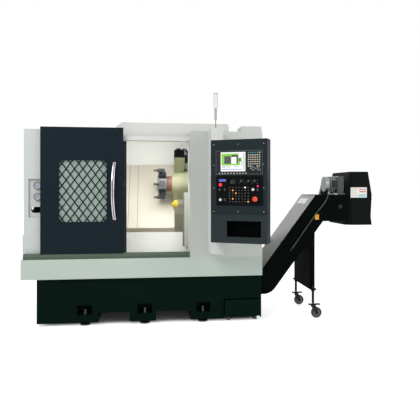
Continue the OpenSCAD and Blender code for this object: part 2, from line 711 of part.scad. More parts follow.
// Discharge cover, narrower at the top and open below.
chute_taper = 38;
chute_x1 = head_x1 + chute_w;
module chute_form(t) intersection() {
  along_y(conv_y0 - 8 + t, conv_y1 + 8 - t, [
    [head_x1 + t, chute_z - (t > 0 ? eps : 0)], [chute_x1 - t, chute_z - (t > 0 ? eps : 0)],
    [chute_x1 - 10 - t, chute_z + 80], [chute_x1 - t, head_top], [chute_x1 - chute_taper - t, chute_top - t],
    [head_x1 + chute_taper + t, chute_top - t], [head_x1 + t, chute_top - 190]
  ]);
  along_z(chute_z - eps, chute_top, [
    [head_x1 + 60 + 0.4 * t, conv_y0 - 8 + t], [chute_x1 - t, conv_y0 - 8 + t],
    [chute_x1 - t, conv_y1 + 8 - t], [head_x1 + t, conv_y1 + 8 - t], [head_x1 + t, conv_y0 + 30 + 0.4 * t]
  ]);
}
module discharge_cover() color([0.05, 0.05, 0.055]) difference() {
  chute_form(0);
  chute_form(sheet);
  along_y(conv_y0 - 10, conv_y1, [
    [head_x1 - eps, head_top - conv_h - head_drop], [head_x1 + 24, head_top - conv_h - head_drop],
    [head_x1 + 24, head_top], [head_x1 - eps, head_top]
  ]);
}

// Gearmotor on the conveyor head: fan cover, finned motor, terminal box and gearbox.
motor_r = 78;
motor_y = conv_y0 + 110;
motor_z = head_top + motor_r + 24;
gear_x = head_x1 - 70;
module conveyor_gearmotor() color([0.66, 0.68, 0.69]) {
  m0 = gear_x - 115;
  rod_x(m0, m0 + 40, motor_y, motor_z, motor_r - 4);
  rod_x(m0 + 38, gear_x, motor_y, motor_z, motor_r - 14);
  for (i = [0:19]) translate([0, motor_y, motor_z]) rotate([18 * i, 0, 0])
    block([m0 + 44, motor_r - 20, -2], [gear_x - 14, motor_r - 3, 2]);
  rod_x(gear_x - 14, gear_x + 1, motor_y, motor_z, motor_r);
  block([m0 + 46, motor_y - motor_r - 30, motor_z - 38], [m0 + 98, motor_y - motor_r + 26, motor_z + 38]);
  along_y(motor_y - 62, motor_y + 62, round_box([gear_x, head_top + 14], [head_x1 - 4, motor_z + motor_r], 14, 3));
  block([gear_x - 40, motor_y - 90, head_top], [head_x1 - 4, motor_y + 90, head_top + 15]);
  rod_y(gear_x + 34, motor_y + 60, conv_y1 + 44, motor_z - 10, 17);
  along_y(conv_y1 + 32, conv_y1 + 62, concat(
    arc([gear_x + 34, motor_z - 10], 38, 0, 180, 10), arc([shaft_x, shaft_z], 70, 180, 360, 10)));
}

// Sliding door: slab with window opening, two hangers and two guide feet.
door_x1 = door_x0 + door_w;
function window_outline(grow) = round_box(
  [win_x - win_w / 2 - grow, win_z - win_h / 2 - grow], [win_x + win_w / 2 + grow, win_z + win_h / 2 + grow],
  win_r + grow);
glass_y = door_y0 + 22;
glass_t = 6;
glass_lap = 12;
hanger_w = 80;
module door_panel() color([0.12, 0.15, 0.18]) {
  difference() {
    along_z(door_bottom, door_top, round_box([door_x0, door_y0], [door_x1, door_y1], 5, 3));
    along_y(door_y0 - eps, door_y1 + eps, window_outline(0));
    along_y(glass_y, door_y1 + eps, window_outline(glass_lap));
  }
  for (x = [door_x0 + 20, door_x1 - 60 - hanger_w]) {
    along_x(x, x + hanger_w, [
      [door_y1 - eps, top_rail_z + gap], [rail_y + top_rail_t + gap, top_rail_z + gap],
      [rail_y + top_rail_t + gap, top_rail_z - 14], [rail_y + top_rail_t + 7, top_rail_z - 14],
      [rail_y + top_rail_t + 7, top_rail_z + 10], [door_y1 - eps, top_rail_z + 10]
    ]);
    block([x, groove_y, sill_top - groove_d + 2], [x + hanger_w, groove_y + groove_w, door_bottom + eps]);
  }
}
module door_window() color([0.75, 0.82, 0.8, 0.5])
  along_y(glass_y, glass_y + glass_t, window_outline(glass_lap));

// Diamond grille in front of the glass.
grille_t = 5;
module window_grille() color([0.1, 0.12, 0.13]) intersection() {
  along_y(glass_y - grille_t, glass_y, window_outline(0));
  lean = atan(lattice_w / lattice_h);
  pitch = lattice_w * cos(lean);
  reach = win_w + win_h;
  count = ceil(reach / pitch / 2);
  translate([win_x, 0, win_z]) for (tilt = [-lean, lean], i = [-count:count])
    rotate([0, tilt, 0]) block([i * pitch - strand / 2, glass_y - grille_t - eps, -reach],
                               [i * pitch + strand / 2, glass_y + eps, reach]);
}

// Bowed flat handle.
bow_h = 531;
bow_out = 65;
bow_w = 26;
bow_t = 14;
handle_x = door_x0 + 626;
handle_lean = 15;
module door_handle() color([0.85, 0.85, 0.87])
  translate([handle_x + bow_w / 2, door_y0, 0]) rotate([0, 0, -handle_lean]) {
  r = (bow_h * bow_h / 4 + bow_out * bow_out) / (2 * bow_out);
  c = [r - bow_out, win_z];
  half = asin(bow_h / 2 / r) + 4;
  intersection() {
    along_x(-bow_w / 2, bow_w / 2,
            concat(arc(c, r, 180 - half, 180 + half, 20), arc(c, r - bow_t, 180 + half, 180 - half, 20)));
    rotate([0, 0, handle_lean]) block([-bow_out, -2 * bow_out, win_z - bow_h], [bow_out, 0, win_z + bow_h]);
  }
}

// Rubber strip on the closing edge.
seal_w = 28;
module door_seal() color([0.2, 0.21, 0.22])
  block([door_x1, door_y0 + 8, door_bottom + 4], [door_x1 + seal_w, door_y0 + 30, doorway_top - 10]);

// Hollow spindle with its nose flange.
spindle_x0 = 250;
module spindle() color([0.6, 0.61, 0.63]) difference() {
  union() {
    rod_x(spindle_x0, chuck_x - eps, spin_y, spin_z, spindle_r);
    rod_x(head_x1_body + gap, chuck_x, spin_y, spin_z, spindle_r + 22);
    rod_x(spindle_x0 + 20, head_x0 - gap, spin_y, spin_z, spindle_r + 18);
  }
  rod_x(spindle_x0 - eps, chuck_x + eps, spin_y, spin_z, spindle_bore_r);
}

// Three-jaw chuck body with radial jaw slots.
jaw_slot_w = jaw_w - 10;
jaw_seat = 24;
module chuck_body() color([0.55, 0.56, 0.58]) difference() {
  on_spindle() translate([0, 0, chuck_x]) rotate_extrude()
    polygon([[spindle_bore_r, 0], [chuck_r, 0], [chuck_r, chuck_l - 6], [chuck_r - 6, chuck_l], [spindle_bore_r, chuck_l]]);
  for (k = [0:2]) translate([0, spin_y, spin_z]) rotate([90 + 120 * k, 0, 0])
    block([chuck_x + chuck_l - jaw_seat, 20, -jaw_slot_w / 2 - gap],
          [chuck_x + chuck_l + eps, chuck_r + eps, jaw_slot_w / 2 + gap]);
}
// One stepped jaw with its guide in the slot.
module chuck_jaw(k) color([0.45, 0.46, 0.48]) translate([0, spin_y, spin_z]) rotate([90 + 120 * k, 0, 0]) {
  face = chuck_x + chuck_l;
  block([face - jaw_seat + gap, 40, -jaw_slot_w / 2], [face + eps, 94, jaw_slot_w / 2]);
  translate([0, 0, -jaw_w / 2]) linear_extrude(jaw_w) polygon([
    [face + gap, 36], [face + 52, 36], [face + 52, 60], [face + 34, 60], [face + 34, 80],
    [face + 18, 80], [face + 18, 98], [face + gap, 98]
  ]);
}
module chuck_jaw_1() chuck_jaw(0);
module chuck_jaw_2() chuck_jaw(1);
module chuck_jaw_3() chuck_jaw(2);

// Hollow hydraulic cylinder on the spindle's tail.
module chuck_cylinder() color([0.5, 0.52, 0.54]) difference() {
  union() {
    rod_x(spindle_x0 - 70, spindle_x0, spin_y, spin_z, 80);
    rod_x(spindle_x0 - cylinder_l, spindle_x0 - 69, spin_y, spin_z, 55);
  }
  rod_x(spindle_x0 - cylinder_l - eps, spindle_x0 + eps, spin_y, spin_z, spindle_bore_r);
}
cylinder_l = 120;

// Saddle on the carriage rails, with the cross rails and the motor bracket.
saddle_a0 = -60;
saddle_a1 = 700;
cross_rail_w = 24;
cross_rail_h = 30;
bracket_x = saddle_x0 + 84;
motor_w = 110;
motor_b0 = -115;
module saddle() color([0.6, 0.63, 0.6]) on_slant() difference() {
  union() {
    block([saddle_x0, saddle_a0, slab_b0], [saddle_x1, saddle_a1, slab_b1]);
    block([saddle_step_x, saddle_a0, slab_b1 - eps], [saddle_x1, saddle_a1, -cover_drop]);
    for (a = [0, rail_pitch], x = [saddle_x0 + 10, saddle_x1 - 90])
      block([x, a - 45, -bed_drop + 4], [x + 80, a + 45, slab_b0 + eps]);
    for (x = [cross_x0 + 12, cross_x0 + cross_l - 12 - cross_rail_w])
      block([x, 0, -cover_drop - eps], [x + cross_rail_w, 620, -cover_drop + cross_rail_h]);
    block([bracket_x, saddle_a1 - 16, -cover_drop - eps], [bracket_x + motor_w, saddle_a1, motor_b0 + motor_w]);
  }
  for (a = [0, rail_pitch])
    block([saddle_x0 - eps, a - rail_w / 2 - gap, -bed_drop - eps],
          [saddle_x1 + eps, a + rail_w / 2 + gap, -bed_drop + rail_h + gap]);
}
// Moving leaves of the way cover, carried by the saddle.
module saddle_cover() color([0.8, 0.77, 0.67]) {
  cover_leaf(leaf_left_x1 - 45, saddle_step_x + 10, cover_a0, -cover_drop);
  cover_leaf(saddle_x1 - 5, work_x1 - 48, cover_a0, -cover_drop);
}
// Cross-slide motor with its connector box.
module x_servo_motor() color([0.06, 0.06, 0.07]) on_slant() {
  translate([bracket_x + motor_w / 2, 0, motor_b0 + motor_w / 2]) rotate([-90, 0, 0])
    linear_extrude_between(saddle_a1, saddle_a1 + 130)
      polygon(round_box([-motor_w / 2, -motor_w / 2], [motor_w / 2, motor_w / 2], 14, 4));
  block([bracket_x + 20, saddle_a1 + 60, motor_b0 + motor_w - eps], [bracket_x + 70, saddle_a1 + 110, motor_b0 + motor_w + 36]);
}
module linear_extrude_between(z0, z1) translate([0, 0, z0]) linear_extrude(z1 - z0) children();

// Cross slide with its ball nut between the cross rails.
module cross_slide() color([0.62, 0.65, 0.6]) on_slant() {
  block([cross_x0, turret_rise - 140, -cover_drop + cross_rail_h + gap], [cross_x0 + cross_l, turret_rise + 150, cross_b1]);
  block([cross_x0 + 52, turret_rise - 40, -cover_drop + gap], [cross_x0 + 98, turret_rise + 40, -cover_drop + cross_rail_h + eps]);
}
// Turret housing with its neck and flange.
module turret_housing() color([0.66, 0.68, 0.58]) difference() {
  on_slant() union() {
    along_x(housing_x0, housing_x0 + housing_l, concat(
      arc([turret_rise, 0], housing_r, -10, 190, 16),
      [[turret_rise - housing_r, cross_b1], [turret_rise + housing_r, cross_b1]]));
    rod_x(disc_x0 + disc_t + gap, housing_x0 + eps, turret_rise, 0, neck_r);
    rod_x(housing_x0 - 14, housing_x0 + eps, turret_rise, 0, neck_r + 14);
  }
  on_slant() rod_x(disc_x0 + disc_t - eps, housing_x0 + 61, turret_rise, 0, turret_shaft_r + play);
}
// Eight-sided turret disc with its index shaft and face cap.
module turret_disc() color([0.5, 0.51, 0.53]) on_turret() {
  translate([0, 0, disc_x0]) rotate([0, 0, 180 / stations]) cylinder(r = disc_r / cos(180 / stations), h = disc_t, $fn = 8);
  translate([0, 0, disc_x0 - 10]) cylinder(r = 56, h = 11);
  translate([0, 0, disc_x0 + disc_t - eps]) cylinder(r = turret_shaft_r, h = neck_l + 60);
}
// Turning-tool blocks and boring-bar sockets, one to each face.
bar_r = 10;
module tool_holders() color([0.32, 0.33, 0.35]) on_turret()
  for (i = [0:stations - 1]) rotate([0, 0, 360 / stations * i]) {
    if (i % 2 == 0) {
      block([disc_r, -30, disc_x0 + 8], [disc_r + 30, 30, disc_x0 + disc_t - 8]);
      block([disc_r + 29, -12, disc_x0 + 14], [tool_reach - 2, 10, disc_x0 + 36]);
      translate([tool_reach - 9, 0, disc_x0 + 9]) cylinder(r = 7, h = 6, $fn = 4);
    } else {
      block([disc_r, -32, disc_x0 + 6], [disc_r + 38, 32, disc_x0 + disc_t - 12]);
      translate([disc_r + 20, 0, disc_x0 - 14]) cylinder(r = 17, h = 21);
      translate([disc_r + 20, 0, disc_x0 - 46]) cylinder(r = bar_r, h = 33);
    }
  }

// Tailstock on the way at the bed's nose, with its flat front guard.
tail_x0 = centre_x + 46;
tail_l = 90;
guard_z = 660;
guard_reach = 235;
module tailstock_body() color([0.55, 0.57, 0.55]) difference() {
  union() {
    along_x(tail_x0, tail_x0 + tail_l, [
      [nose_y + 2, tail_seat_z + gap], [lip_y - 6, tail_seat_z + gap], [lip_y - 6, tail_seat_z + 18],
      [lip_y - 14, tail_seat_z + 26], [lip_y - 14, spin_z], [spin_y - 48, spin_z], [spin_y - 48, spin_z - 90]
    ]);
    rod_x(tail_head_x, tail_head_x + tail_head_l, spin_y, spin_z, tail_head_r);
    block([tail_x0 + tail_l - 15, spin_y - tail_head_r, guard_z], [tail_x0 + guard_reach, spin_y - tail_head_r + 5, spin_z + 120]);
  }
  block([tail_x0 - eps, nose_y + 20 - gap, tail_seat_z - eps],
        [tail_x0 + tail_l + eps, nose_y + 48 + gap, tail_seat_z + tail_way_h + gap]);
  rod_x(tail_x0 - eps, tail_head_x, spin_y, spin_z, tail_head_r);
  rod_x(tail_head_x - eps, tail_head_x + tail_head_l + eps, spin_y, spin_z, quill_r + play);
}
module tailstock_quill() color([0.7, 0.71, 0.73]) difference() {
  rod_x(centre_x + 79, tail_head_x + tail_head_l + 60, spin_y, spin_z, quill_r);
  rod_x(centre_x + 78, centre_x + 160, spin_y, spin_z, centre_shank_r + play);
}
// Live centre: pointed nose, bearing body and shank.
centre_shank_r = 14;
centre_r = 47;
module live_centre() color([0.85, 0.72, 0.15]) on_spindle() translate([0, 0, centre_x]) {
  cylinder(r1 = 1, r2 = 16, h = 27);
  translate([0, 0, 26]) cylinder(r = 24, h = 10);
  translate([0, 0, 35]) cylinder(r = centre_r, h = 43.5);
  translate([0, 0, 78]) cylinder(r = centre_shank_r, h = 70);
}

// Face positions of the operator elements, across and up from the box's lower hinge corner.
start_at = [349, 439];
hold_at = [387, 437];
power_at = [72, 355];
stop_at = [368, 362];
knob_at = [180, 498];
fixed_knobs = [[253, 498], [312, 498], [366, 498]];
button_r = 11;
button_stem_r = 6;
button_travel = 3;
stop_r = 22;
stop_travel = 4;
knob_shaft_r = 5;
stem_depth = 24;
cubby_p = [124, 52];
cubby_q = [412, 182];
cubby_d = 90;
seam_z = 235;
plate_y = box_front - plate_t;

// Swivelling control box with cubby, seam and holes for the operator elements.
module control_box() color([0.15, 0.18, 0.2]) on_box() difference() {
  along_z(0, box_h, round_box([box_left, box_front], [box_left + box_w, box_back], 8, 3));
  along_y(box_front - eps, box_front + cubby_d, round_box(cubby_p, cubby_q, 8, 3));
  block([box_left - eps, box_front - eps, seam_z - 1], [box_left + box_w + eps, box_front + 2, seam_z + 1]);
  for (p = [start_at, hold_at, power_at, stop_at])
    rod_y(p[0], box_front - eps, box_front + stem_depth + 6, p[1], button_stem_r + gap);
  rod_y(knob_at[0], box_front - eps, box_front + stem_depth, knob_at[1], knob_shaft_r + play);
  for (z = [-eps, box_h - pivot_pin - 2])
    translate([0, 0, z]) cylinder(r = hinge_r + play, h = pivot_pin + 2 + eps);
}

// Display and keyboard unit with a raised bezel and recessed screen.
screen_p = [72, 586];
screen_q = [285, 745];
keys_p = [303, 586];
keys_q = [414, 748];
module cnc_unit() color([0.12, 0.13, 0.13]) on_box() difference() {
  along_y(box_front - 8, box_front, round_box([32, unit_z0], [plate_x1, unit_z1], 14, 4));
  along_y(box_front - 9, box_front - 4, round_box(screen_p, screen_q, 3, 2));
  along_y(box_front - 9, box_front - 6, round_box(keys_p, keys_q, 3, 2));
}

// Operator plate with button collars, key matrix and the fixed selector knobs.
key_p = [152, 340];
key_pitch = [26, 23];
key_size = 15;
module operator_plate() color([0.04, 0.04, 0.045]) on_box() difference() {
  union() {
    along_y(plate_y, box_front, round_box([plate_x0, plate_z0], [plate_x1, plate_z1], 4, 2));
    for (p = [start_at, hold_at, power_at]) rod_y(p[0], plate_y - 5, plate_y + eps, p[1], button_r + 4);
    rod_y(stop_at[0], plate_y - 4, plate_y + eps, stop_at[1], stop_r + 5);
    for (p = fixed_knobs) rod_y(p[0], plate_y - 16, plate_y + eps, p[1], 13);
    for (i = [0:6], j = [0:5]) translate([key_p[0] + key_pitch[0] * i, 0, key_p[1] + key_pitch[1] * j])
      block([-key_size / 2, plate_y - 2, -key_size / 2], [key_size / 2, plate_y + eps, key_size / 2]);
  }
  for (p = [start_at, hold_at, power_at]) {
    rod_y(p[0], plate_y - 6, plate_y, p[1], button_r + gap);
    rod_y(p[0], plate_y - eps, box_front + eps, p[1], button_stem_r + gap);
  }
  rod_y(stop_at[0], plate_y - 5, box_front + eps, stop_at[1], button_stem_r + gap);
  rod_y(knob_at[0], plate_y - eps, box_front + eps, knob_at[1], knob_shaft_r + play);
}

// A push button: cap in its collar and stem through the plate.
module push_button(p) on_box() {
  rod_y(p[0], plate_y - 9, plate_y - button_travel - gap, p[1], button_r);
  rod_y(p[0], plate_y - button_travel - gap - eps, box_front + stem_depth, p[1], button_stem_r);
}
module cycle_start() color([0.9, 0.9, 0.88]) push_button(start_at);
module feed_hold() color([0.12, 0.12, 0.13]) push_button(hold_at);
module power_button() color([0.92, 0.92, 0.9]) push_button(power_at);
// Emergency stop mushroom.
module emergency_stop() color([0.85, 0.22, 0.08]) on_box() {
  back = plate_y - 4 - stop_travel - gap;
  translate([stop_at[0], back, stop_at[1]]) rotate([90, 0, 0]) rotate_extrude()
    polygon(concat([[0, 0], [stop_r - 4, 0]], arc([stop_r - 6, 8], 6, -60, 70, 5), [[0, 16]]));
  rod_y(stop_at[0], back - eps, box_front + stem_depth, stop_at[1], button_stem_r);
}
// Feed override knob with a flat pointer ridge.
module override_knob() color([0.1, 0.1, 0.11]) on_box() {
  rod_y(knob_at[0], plate_y - 14, plate_y - gap, knob_at[1], 15);
  block([knob_at[0] - 3, plate_y - 20, knob_at[1] - 14], [knob_at[0] + 3, plate_y - 13, knob_at[1] + 14]);
  rod_y(knob_at[0], plate_y - gap - eps, box_front + stem_depth - 4, knob_at[1], knob_shaft_r);
}

// Swivel fork of a caster, with its stem through the leg's bracket.
fork_top = 2 * caster_r + 22;
fork_gap = 34;
module caster_fork(k) color([0.62, 0.63, 0.65]) translate([leg_x, stem_y[k], 0]) {
  rod_z(0, 0, fork_top, leg_z + bracket_t + 24, stem_r);
  rod_z(0, 0, leg_z - 16 - gap, leg_z - gap, 17);
  rod_z(0, 0, leg_z + bracket_t + gap, leg_z + bracket_t + 16, 14);
  block([-20, -fork_gap / 2 - 4, fork_top - 5], [20, fork_gap / 2 + 4, fork_top + 2]);
  for (side = [-1, 1]) along_y(side * (fork_gap / 2 + 2) - 2, side * (fork_gap / 2 + 2) + 2, concat(
    [[20, fork_top], [-20, fork_top]], arc([caster_trail, caster_r + wheel_lift], 16, 200, 380, 8)));
  rod_y(caster_trail, -fork_gap / 2 - 8, fork_gap / 2 + 8, caster_r + wheel_lift, fork_axle_r);
}
module caster_fork_1() caster_fork(0);
module caster_fork_2() caster_fork(1);

// Caster wheel: tyre with a rounded tread and a hub.
module caster_wheel(k) color([0.35, 0.42, 0.38]) translate([leg_x + caster_trail, stem_y[k], caster_r + wheel_lift])
  rotate([90, 0, 0]) rotate_extrude() polygon(concat(
    [[fork_axle_r + play, -fork_gap / 2 + 2], [20, -fork_gap / 2 + 2], [22, -12], [caster_r - 4, -13]],
    arc([caster_r - 6, -7], 6, -70, 0, 3), arc([caster_r - 6, 7], 6, 0, 70, 3),
    [[caster_r - 4, 13], [22, 12], [20, fork_gap / 2 - 2], [fork_axle_r + play, fork_gap / 2 - 2]]));
module caster_wheel_1() caster_wheel(0);
module caster_wheel_2() caster_wheel(1);

// Coolant tank that rolls out under the base.
tank_edge = 18;
axle_tab = 10;
wheel_in = 26;
module coolant_tank() color([0.03, 0.08, 0.07]) {
  along_y(tank_y0, tank_y0 + tank_l, concat(
    [[tank_x, tank_z], [tank_x + tank_w, tank_z]],
    arc([tank_x + tank_w - tank_edge, tank_top - tank_edge], tank_edge, 0, 90, 5),
    arc([tank_x + tank_edge, tank_top - tank_edge], tank_edge, 90, 180, 5)));
  for (y = axle_y, x = [tank_x + wheel_in + 30, tank_x + tank_w - wheel_in - 30 - axle_tab]) difference() {
    along_x(x, x + axle_tab, concat(
      [[y - 14, tank_z + eps]], arc([y, axle_z], 12, 180, 360, 8), [[y + 14, tank_z + eps]]));
    rod_x(x - eps, x + axle_tab + eps, y, axle_z, axle_r + play);
  }
}
// Axle of the tank with its two wheels.
module tank_axle(k) color([0.3, 0.31, 0.32]) {
  rod_x(tank_x + wheel_in, tank_x + tank_w - wheel_in, axle_y[k], axle_z, axle_r);
  for (x = [tank_x + wheel_in, tank_x + tank_w - wheel_in - 26]) rod_x(x, x + 26, axle_y[k], axle_z, tank_wheel_r);
}
module tank_axle_1() tank_axle(0);
module tank_axle_2() tank_axle(1);

// Hinged door of the electrical cabinet with its knuckles.
module cabinet_door() color([0.8, 0.83, 0.81]) {
  difference() {
    block([ecab_x + 2, ecab_y1 + gap, ecab_z + 2], [ecab_x1, ecab_y1 + ecab_door_t, enc_h - 12]);
    block([ecab_x + 8, ecab_y1 + gap - eps, ecab_z + 8], [ecab_x1 - 6, ecab_y1 + ecab_door_t - sheet, enc_h - 18]);
    rod_y(switch_x, ecab_y1, ecab_y1 + ecab_door_t + eps, switch_z, switch_shaft_r + play);
  }
  for (z = cabinet_hinge_z) difference() {
    union() {
      rod_z(ecab_x - 14, ecab_y1 + 12, z + knuckle_h + gap, z + 2 * knuckle_h, pin_r + 6);
      block([ecab_x - 14, ecab_y1 + 8, z + knuckle_h + gap], [ecab_x + 4, ecab_y1 + 16, z + 2 * knuckle_h]);
    }
    rod_z(ecab_x - 14, ecab_y1 + 12, z + knuckle_h, z + 2 * knuckle_h + eps, pin_r + play);
  }
}
// Rotary main switch on the cabinet door.
switch_shaft_r = 8;
module main_switch() color([0.75, 0.1, 0.08]) {
  face = ecab_y1 + ecab_door_t;
  rod_y(switch_x, ecab_y1 + 6, face + gap + eps, switch_z, switch_shaft_r);
  rod_y(switch_x, face + gap, face + 12, switch_z, 30);
  block([switch_x - 8, face + 11, switch_z - 34], [switch_x + 8, face + switch_out, switch_z + 34]);
}

module placed() translate([-mid_x, -mid_y, 0]) children();

placed() machine_base();
placed() levelling_feet();
placed() slant_bed();
placed() headstock();
placed() way_cover();
placed() bed_cover();
placed() front_apron();
placed() door_rail();
placed() door_top_rail();
placed() left_cover();
placed() right_cover();
placed() hood();
placed() rear_guard();
placed() pressure_gauges();
placed() signal_light();
placed() electrical_cabinet();
placed() control_column();
placed() conveyor_trough();
placed() conveyor_belt();
placed() discharge_cover();
placed() conveyor_gearmotor();
placed() door_panel();
placed() door_window();
placed() window_grille();
placed() door_handle();
placed() door_seal();
placed() spindle();
placed() chuck_body();
placed() chuck_cylinder();
placed() chuck_jaw_1();
placed() chuck_jaw_2();
placed() chuck_jaw_3();
placed() saddle();
placed() saddle_cover();
placed() x_servo_motor();
placed() cross_slide();
placed() turret_housing();
placed() turret_disc();
placed() tool_holders();
placed() tailstock_body();
placed() tailstock_quill();
placed() live_centre();
placed() control_box();
placed() cnc_unit();
placed() operator_plate();
placed() emergency_stop();
placed() cycle_start();
placed() feed_hold();
placed() power_button();
placed() override_knob();
placed() conveyor_drive_shaft();
placed() caster_fork_1();
placed() caster_fork_2();
placed() caster_wheel_1();
placed() caster_wheel_2();
placed() coolant_tank();
placed() tank_axle_1();
placed() tank_axle_2();
placed() cabinet_door();
placed() main_switch();
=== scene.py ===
import math

import bmesh
import bpy
from mathutils import Matrix, Vector


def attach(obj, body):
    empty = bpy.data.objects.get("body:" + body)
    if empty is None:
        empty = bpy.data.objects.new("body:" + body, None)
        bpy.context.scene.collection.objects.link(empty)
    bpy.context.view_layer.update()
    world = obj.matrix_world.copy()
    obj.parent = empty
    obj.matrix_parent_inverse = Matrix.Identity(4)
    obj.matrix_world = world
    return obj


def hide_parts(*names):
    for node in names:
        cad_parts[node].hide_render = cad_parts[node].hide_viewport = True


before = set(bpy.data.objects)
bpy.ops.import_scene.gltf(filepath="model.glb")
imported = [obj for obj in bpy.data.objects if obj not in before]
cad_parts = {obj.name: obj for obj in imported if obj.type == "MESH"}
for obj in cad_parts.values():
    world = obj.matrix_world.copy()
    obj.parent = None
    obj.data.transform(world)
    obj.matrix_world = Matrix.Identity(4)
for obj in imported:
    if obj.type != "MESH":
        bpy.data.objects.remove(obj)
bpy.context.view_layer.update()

# Machine coordinates in millimetres: X from the apron's left end, Y from its face, Z from the floor.
MID_X, MID_Y = 1615.0, 554.8763
SPINDLE_Y, SPINDLE_Z = 380, 1060
SLANT = math.radians(45)
# The control box: its hinge, its swing at rest and its face's place in its own frame
HINGE = (1686.5, -252.0, 768.0)
SWING = math.radians(27)
BOX_FRONT = -133.0
# Heights above that face: screen glass, keypad and operator plate, their rims, and the knobs' tops
GLASS_AT, KEYS_AT, RIM_AT, SMALL_KNOB_TOP, SELECTOR_TOP = 4, 6, 8, 16, 22


def at(x, y, z):
    """Point of the row frame, in metres."""
    return Vector(((x - MID_X) / 1000, (y - MID_Y) / 1000, z / 1000))


def srgb(r, g, b):
    """Linear colour of a display colour given from 0 to 255."""
    return tuple(
        c / 12.92 if c <= 0.04045 else ((c + 0.055) / 1.055) ** 2.4
        for c in (r / 255, g / 255, b / 255)
    )


# Materials


def graph(name):
    """A new material with its node tree, shader and object coordinates."""
    m = bpy.data.materials.new(name)
    m.use_nodes = True
    nodes, links = m.node_tree.nodes, m.node_tree.links
    where = nodes.new("ShaderNodeTexCoord").outputs["Object"]
    return m, nodes, links, nodes["Principled BSDF"], where


def calc(nodes, links, operation, *values):
    """Result of a math node on sockets or numbers."""
    n = nodes.new("ShaderNodeMath")
    n.operation = operation
    for socket, value in zip(n.inputs, values):
        if isinstance(value, bpy.types.NodeSocket):
            links.new(value, socket)
        else:
            socket.default_value = value
    return n.outputs["Value"]


def noise(nodes, links, vector, scale, detail=2.0, stretch=None):
    """Noise value over the object, drawn out along an axis if stretch is given."""
    if stretch:
        mapping = nodes.new("ShaderNodeMapping")
        mapping.inputs["Scale"].default_value = stretch
        links.new(vector, mapping.inputs["Vector"])
        vector = mapping.outputs["Vector"]
    n = nodes.new("ShaderNodeTexNoise")
    n.inputs["Scale"].default_value = scale
    n.inputs["Detail"].default_value = detail
    links.new(vector, n.inputs["Vector"])
    return n.outputs["Fac"]


def spread(nodes, links, value, low, high):
    """A noise value mapped to a range."""
    n = nodes.new("ShaderNodeMapRange")
    n.inputs["From Min"].default_value = 0.3
    n.inputs["From Max"].default_value = 0.7
    n.inputs["To Min"].default_value = low
    n.inputs["To Max"].default_value = high
    links.new(value, n.inputs["Value"])
    return n.outputs["Result"]


def tint(nodes, links, value, a, b):
    """Colour between a and b by a noise value."""
    n = nodes.new("ShaderNodeMix")
    n.data_type = "RGBA"
    n.inputs["A"].default_value = (*a, 1)
    n.inputs["B"].default_value = (*b, 1)
    links.new(value, n.inputs["Factor"])
    return n.outputs["Result"]


def relief(nodes, links, shader, height, strength, distance, edge):
    """Bump from a height, over edges softened by a small radius."""
    bump = nodes.new("ShaderNodeBump")
    bump.inputs["Strength"].default_value = strength
    bump.inputs["Distance"].default_value = distance
    links.new(height, bump.inputs["Height"])
    if edge:
        bevel = nodes.new("ShaderNodeBevel")
        bevel.samples = 4
        bevel.inputs["Radius"].default_value = edge
        links.new(bevel.outputs["Normal"], bump.inputs["Normal"])
    links.new(bump.outputs["Normal"], shader.inputs["Normal"])


def second_colour(nodes, links, where, tone, axis, edge, rgb):
    """Another colour on the side of the piece beyond a place on one axis, in the row frame."""
    split = nodes.new("ShaderNodeSeparateXYZ")
    links.new(where, split.inputs["Vector"])
    beyond = calc(nodes, links, "GREATER_THAN", split.outputs[axis], edge)
    n = nodes.new("ShaderNodeMix")
    n.data_type = "RGBA"
    n.inputs["B"].default_value = (*srgb(*rgb), 1)
    links.new(tone, n.inputs["A"])
    links.new(beyond, n.inputs["Factor"])
    return n.outputs["Result"]


def paint(name, rgb, rough=0.45, vary=0.05, grain=420, bump=0.12,
          edge=0.0015, metal=0.0, spec=0.4, part=None):
    """Enamel with a fine orange peel and a faint drift of tone, and a second colour if part is given."""
    m, nodes, links, shader, where = graph(name)
    drift = noise(nodes, links, where, 2.3, 3)
    base = srgb(*rgb)
    darker, lighter = [c * (1 - vary) for c in base], [min(1, c * (1 + vary)) for c in base]
    tone = tint(nodes, links, drift, darker, lighter)
    if part:
        tone = second_colour(nodes, links, where, tone, *part)
    links.new(tone, shader.inputs["Base Color"])
    links.new(spread(nodes, links, drift, rough - 0.05, rough + 0.05), shader.inputs["Roughness"])
    shader.inputs["Metallic"].default_value = metal
    shader.inputs["Specular IOR Level"].default_value = spec
    relief(nodes, links, shader, noise(nodes, links, where, grain, 1), bump, 0.0004, edge)
    return m


def steel(name, rgb, rough=0.3, stretch=(1, 40, 40), scale=60, edge=0.0008):
    """Machined metal with fine lines along one axis."""
    m, nodes, links, shader, where = graph(name)
    lines = noise(nodes, links, where, scale, 3, stretch)
    base = srgb(*rgb)
    links.new(tint(nodes, links, lines, [c * 0.82 for c in base], base), shader.inputs["Base Color"])
    links.new(spread(nodes, links, lines, rough - 0.08, rough + 0.08), shader.inputs["Roughness"])
    shader.inputs["Metallic"].default_value = 1.0
    relief(nodes, links, shader, lines, 0.08, 0.0002, edge)
    return m


def plastic(name, rgb, rough=0.35, glow=0.0, vary=0.08):
    """Moulded plastic with a faint grain, lit from behind if it glows."""
    m, nodes, links, shader, where = graph(name)
    grain = noise(nodes, links, where, 260, 2)
    base = srgb(*rgb)
    tone = tint(nodes, links, grain, [c * (1 - vary) for c in base], base)
    links.new(tone, shader.inputs["Base Color"])
    links.new(spread(nodes, links, grain, rough - 0.05, rough + 0.05), shader.inputs["Roughness"])
    if glow:
        links.new(tone, shader.inputs["Emission Color"])
        shader.inputs["Emission Strength"].default_value = glow
    relief(nodes, links, shader, grain, 0.05, 0.0002, 0)
    return m


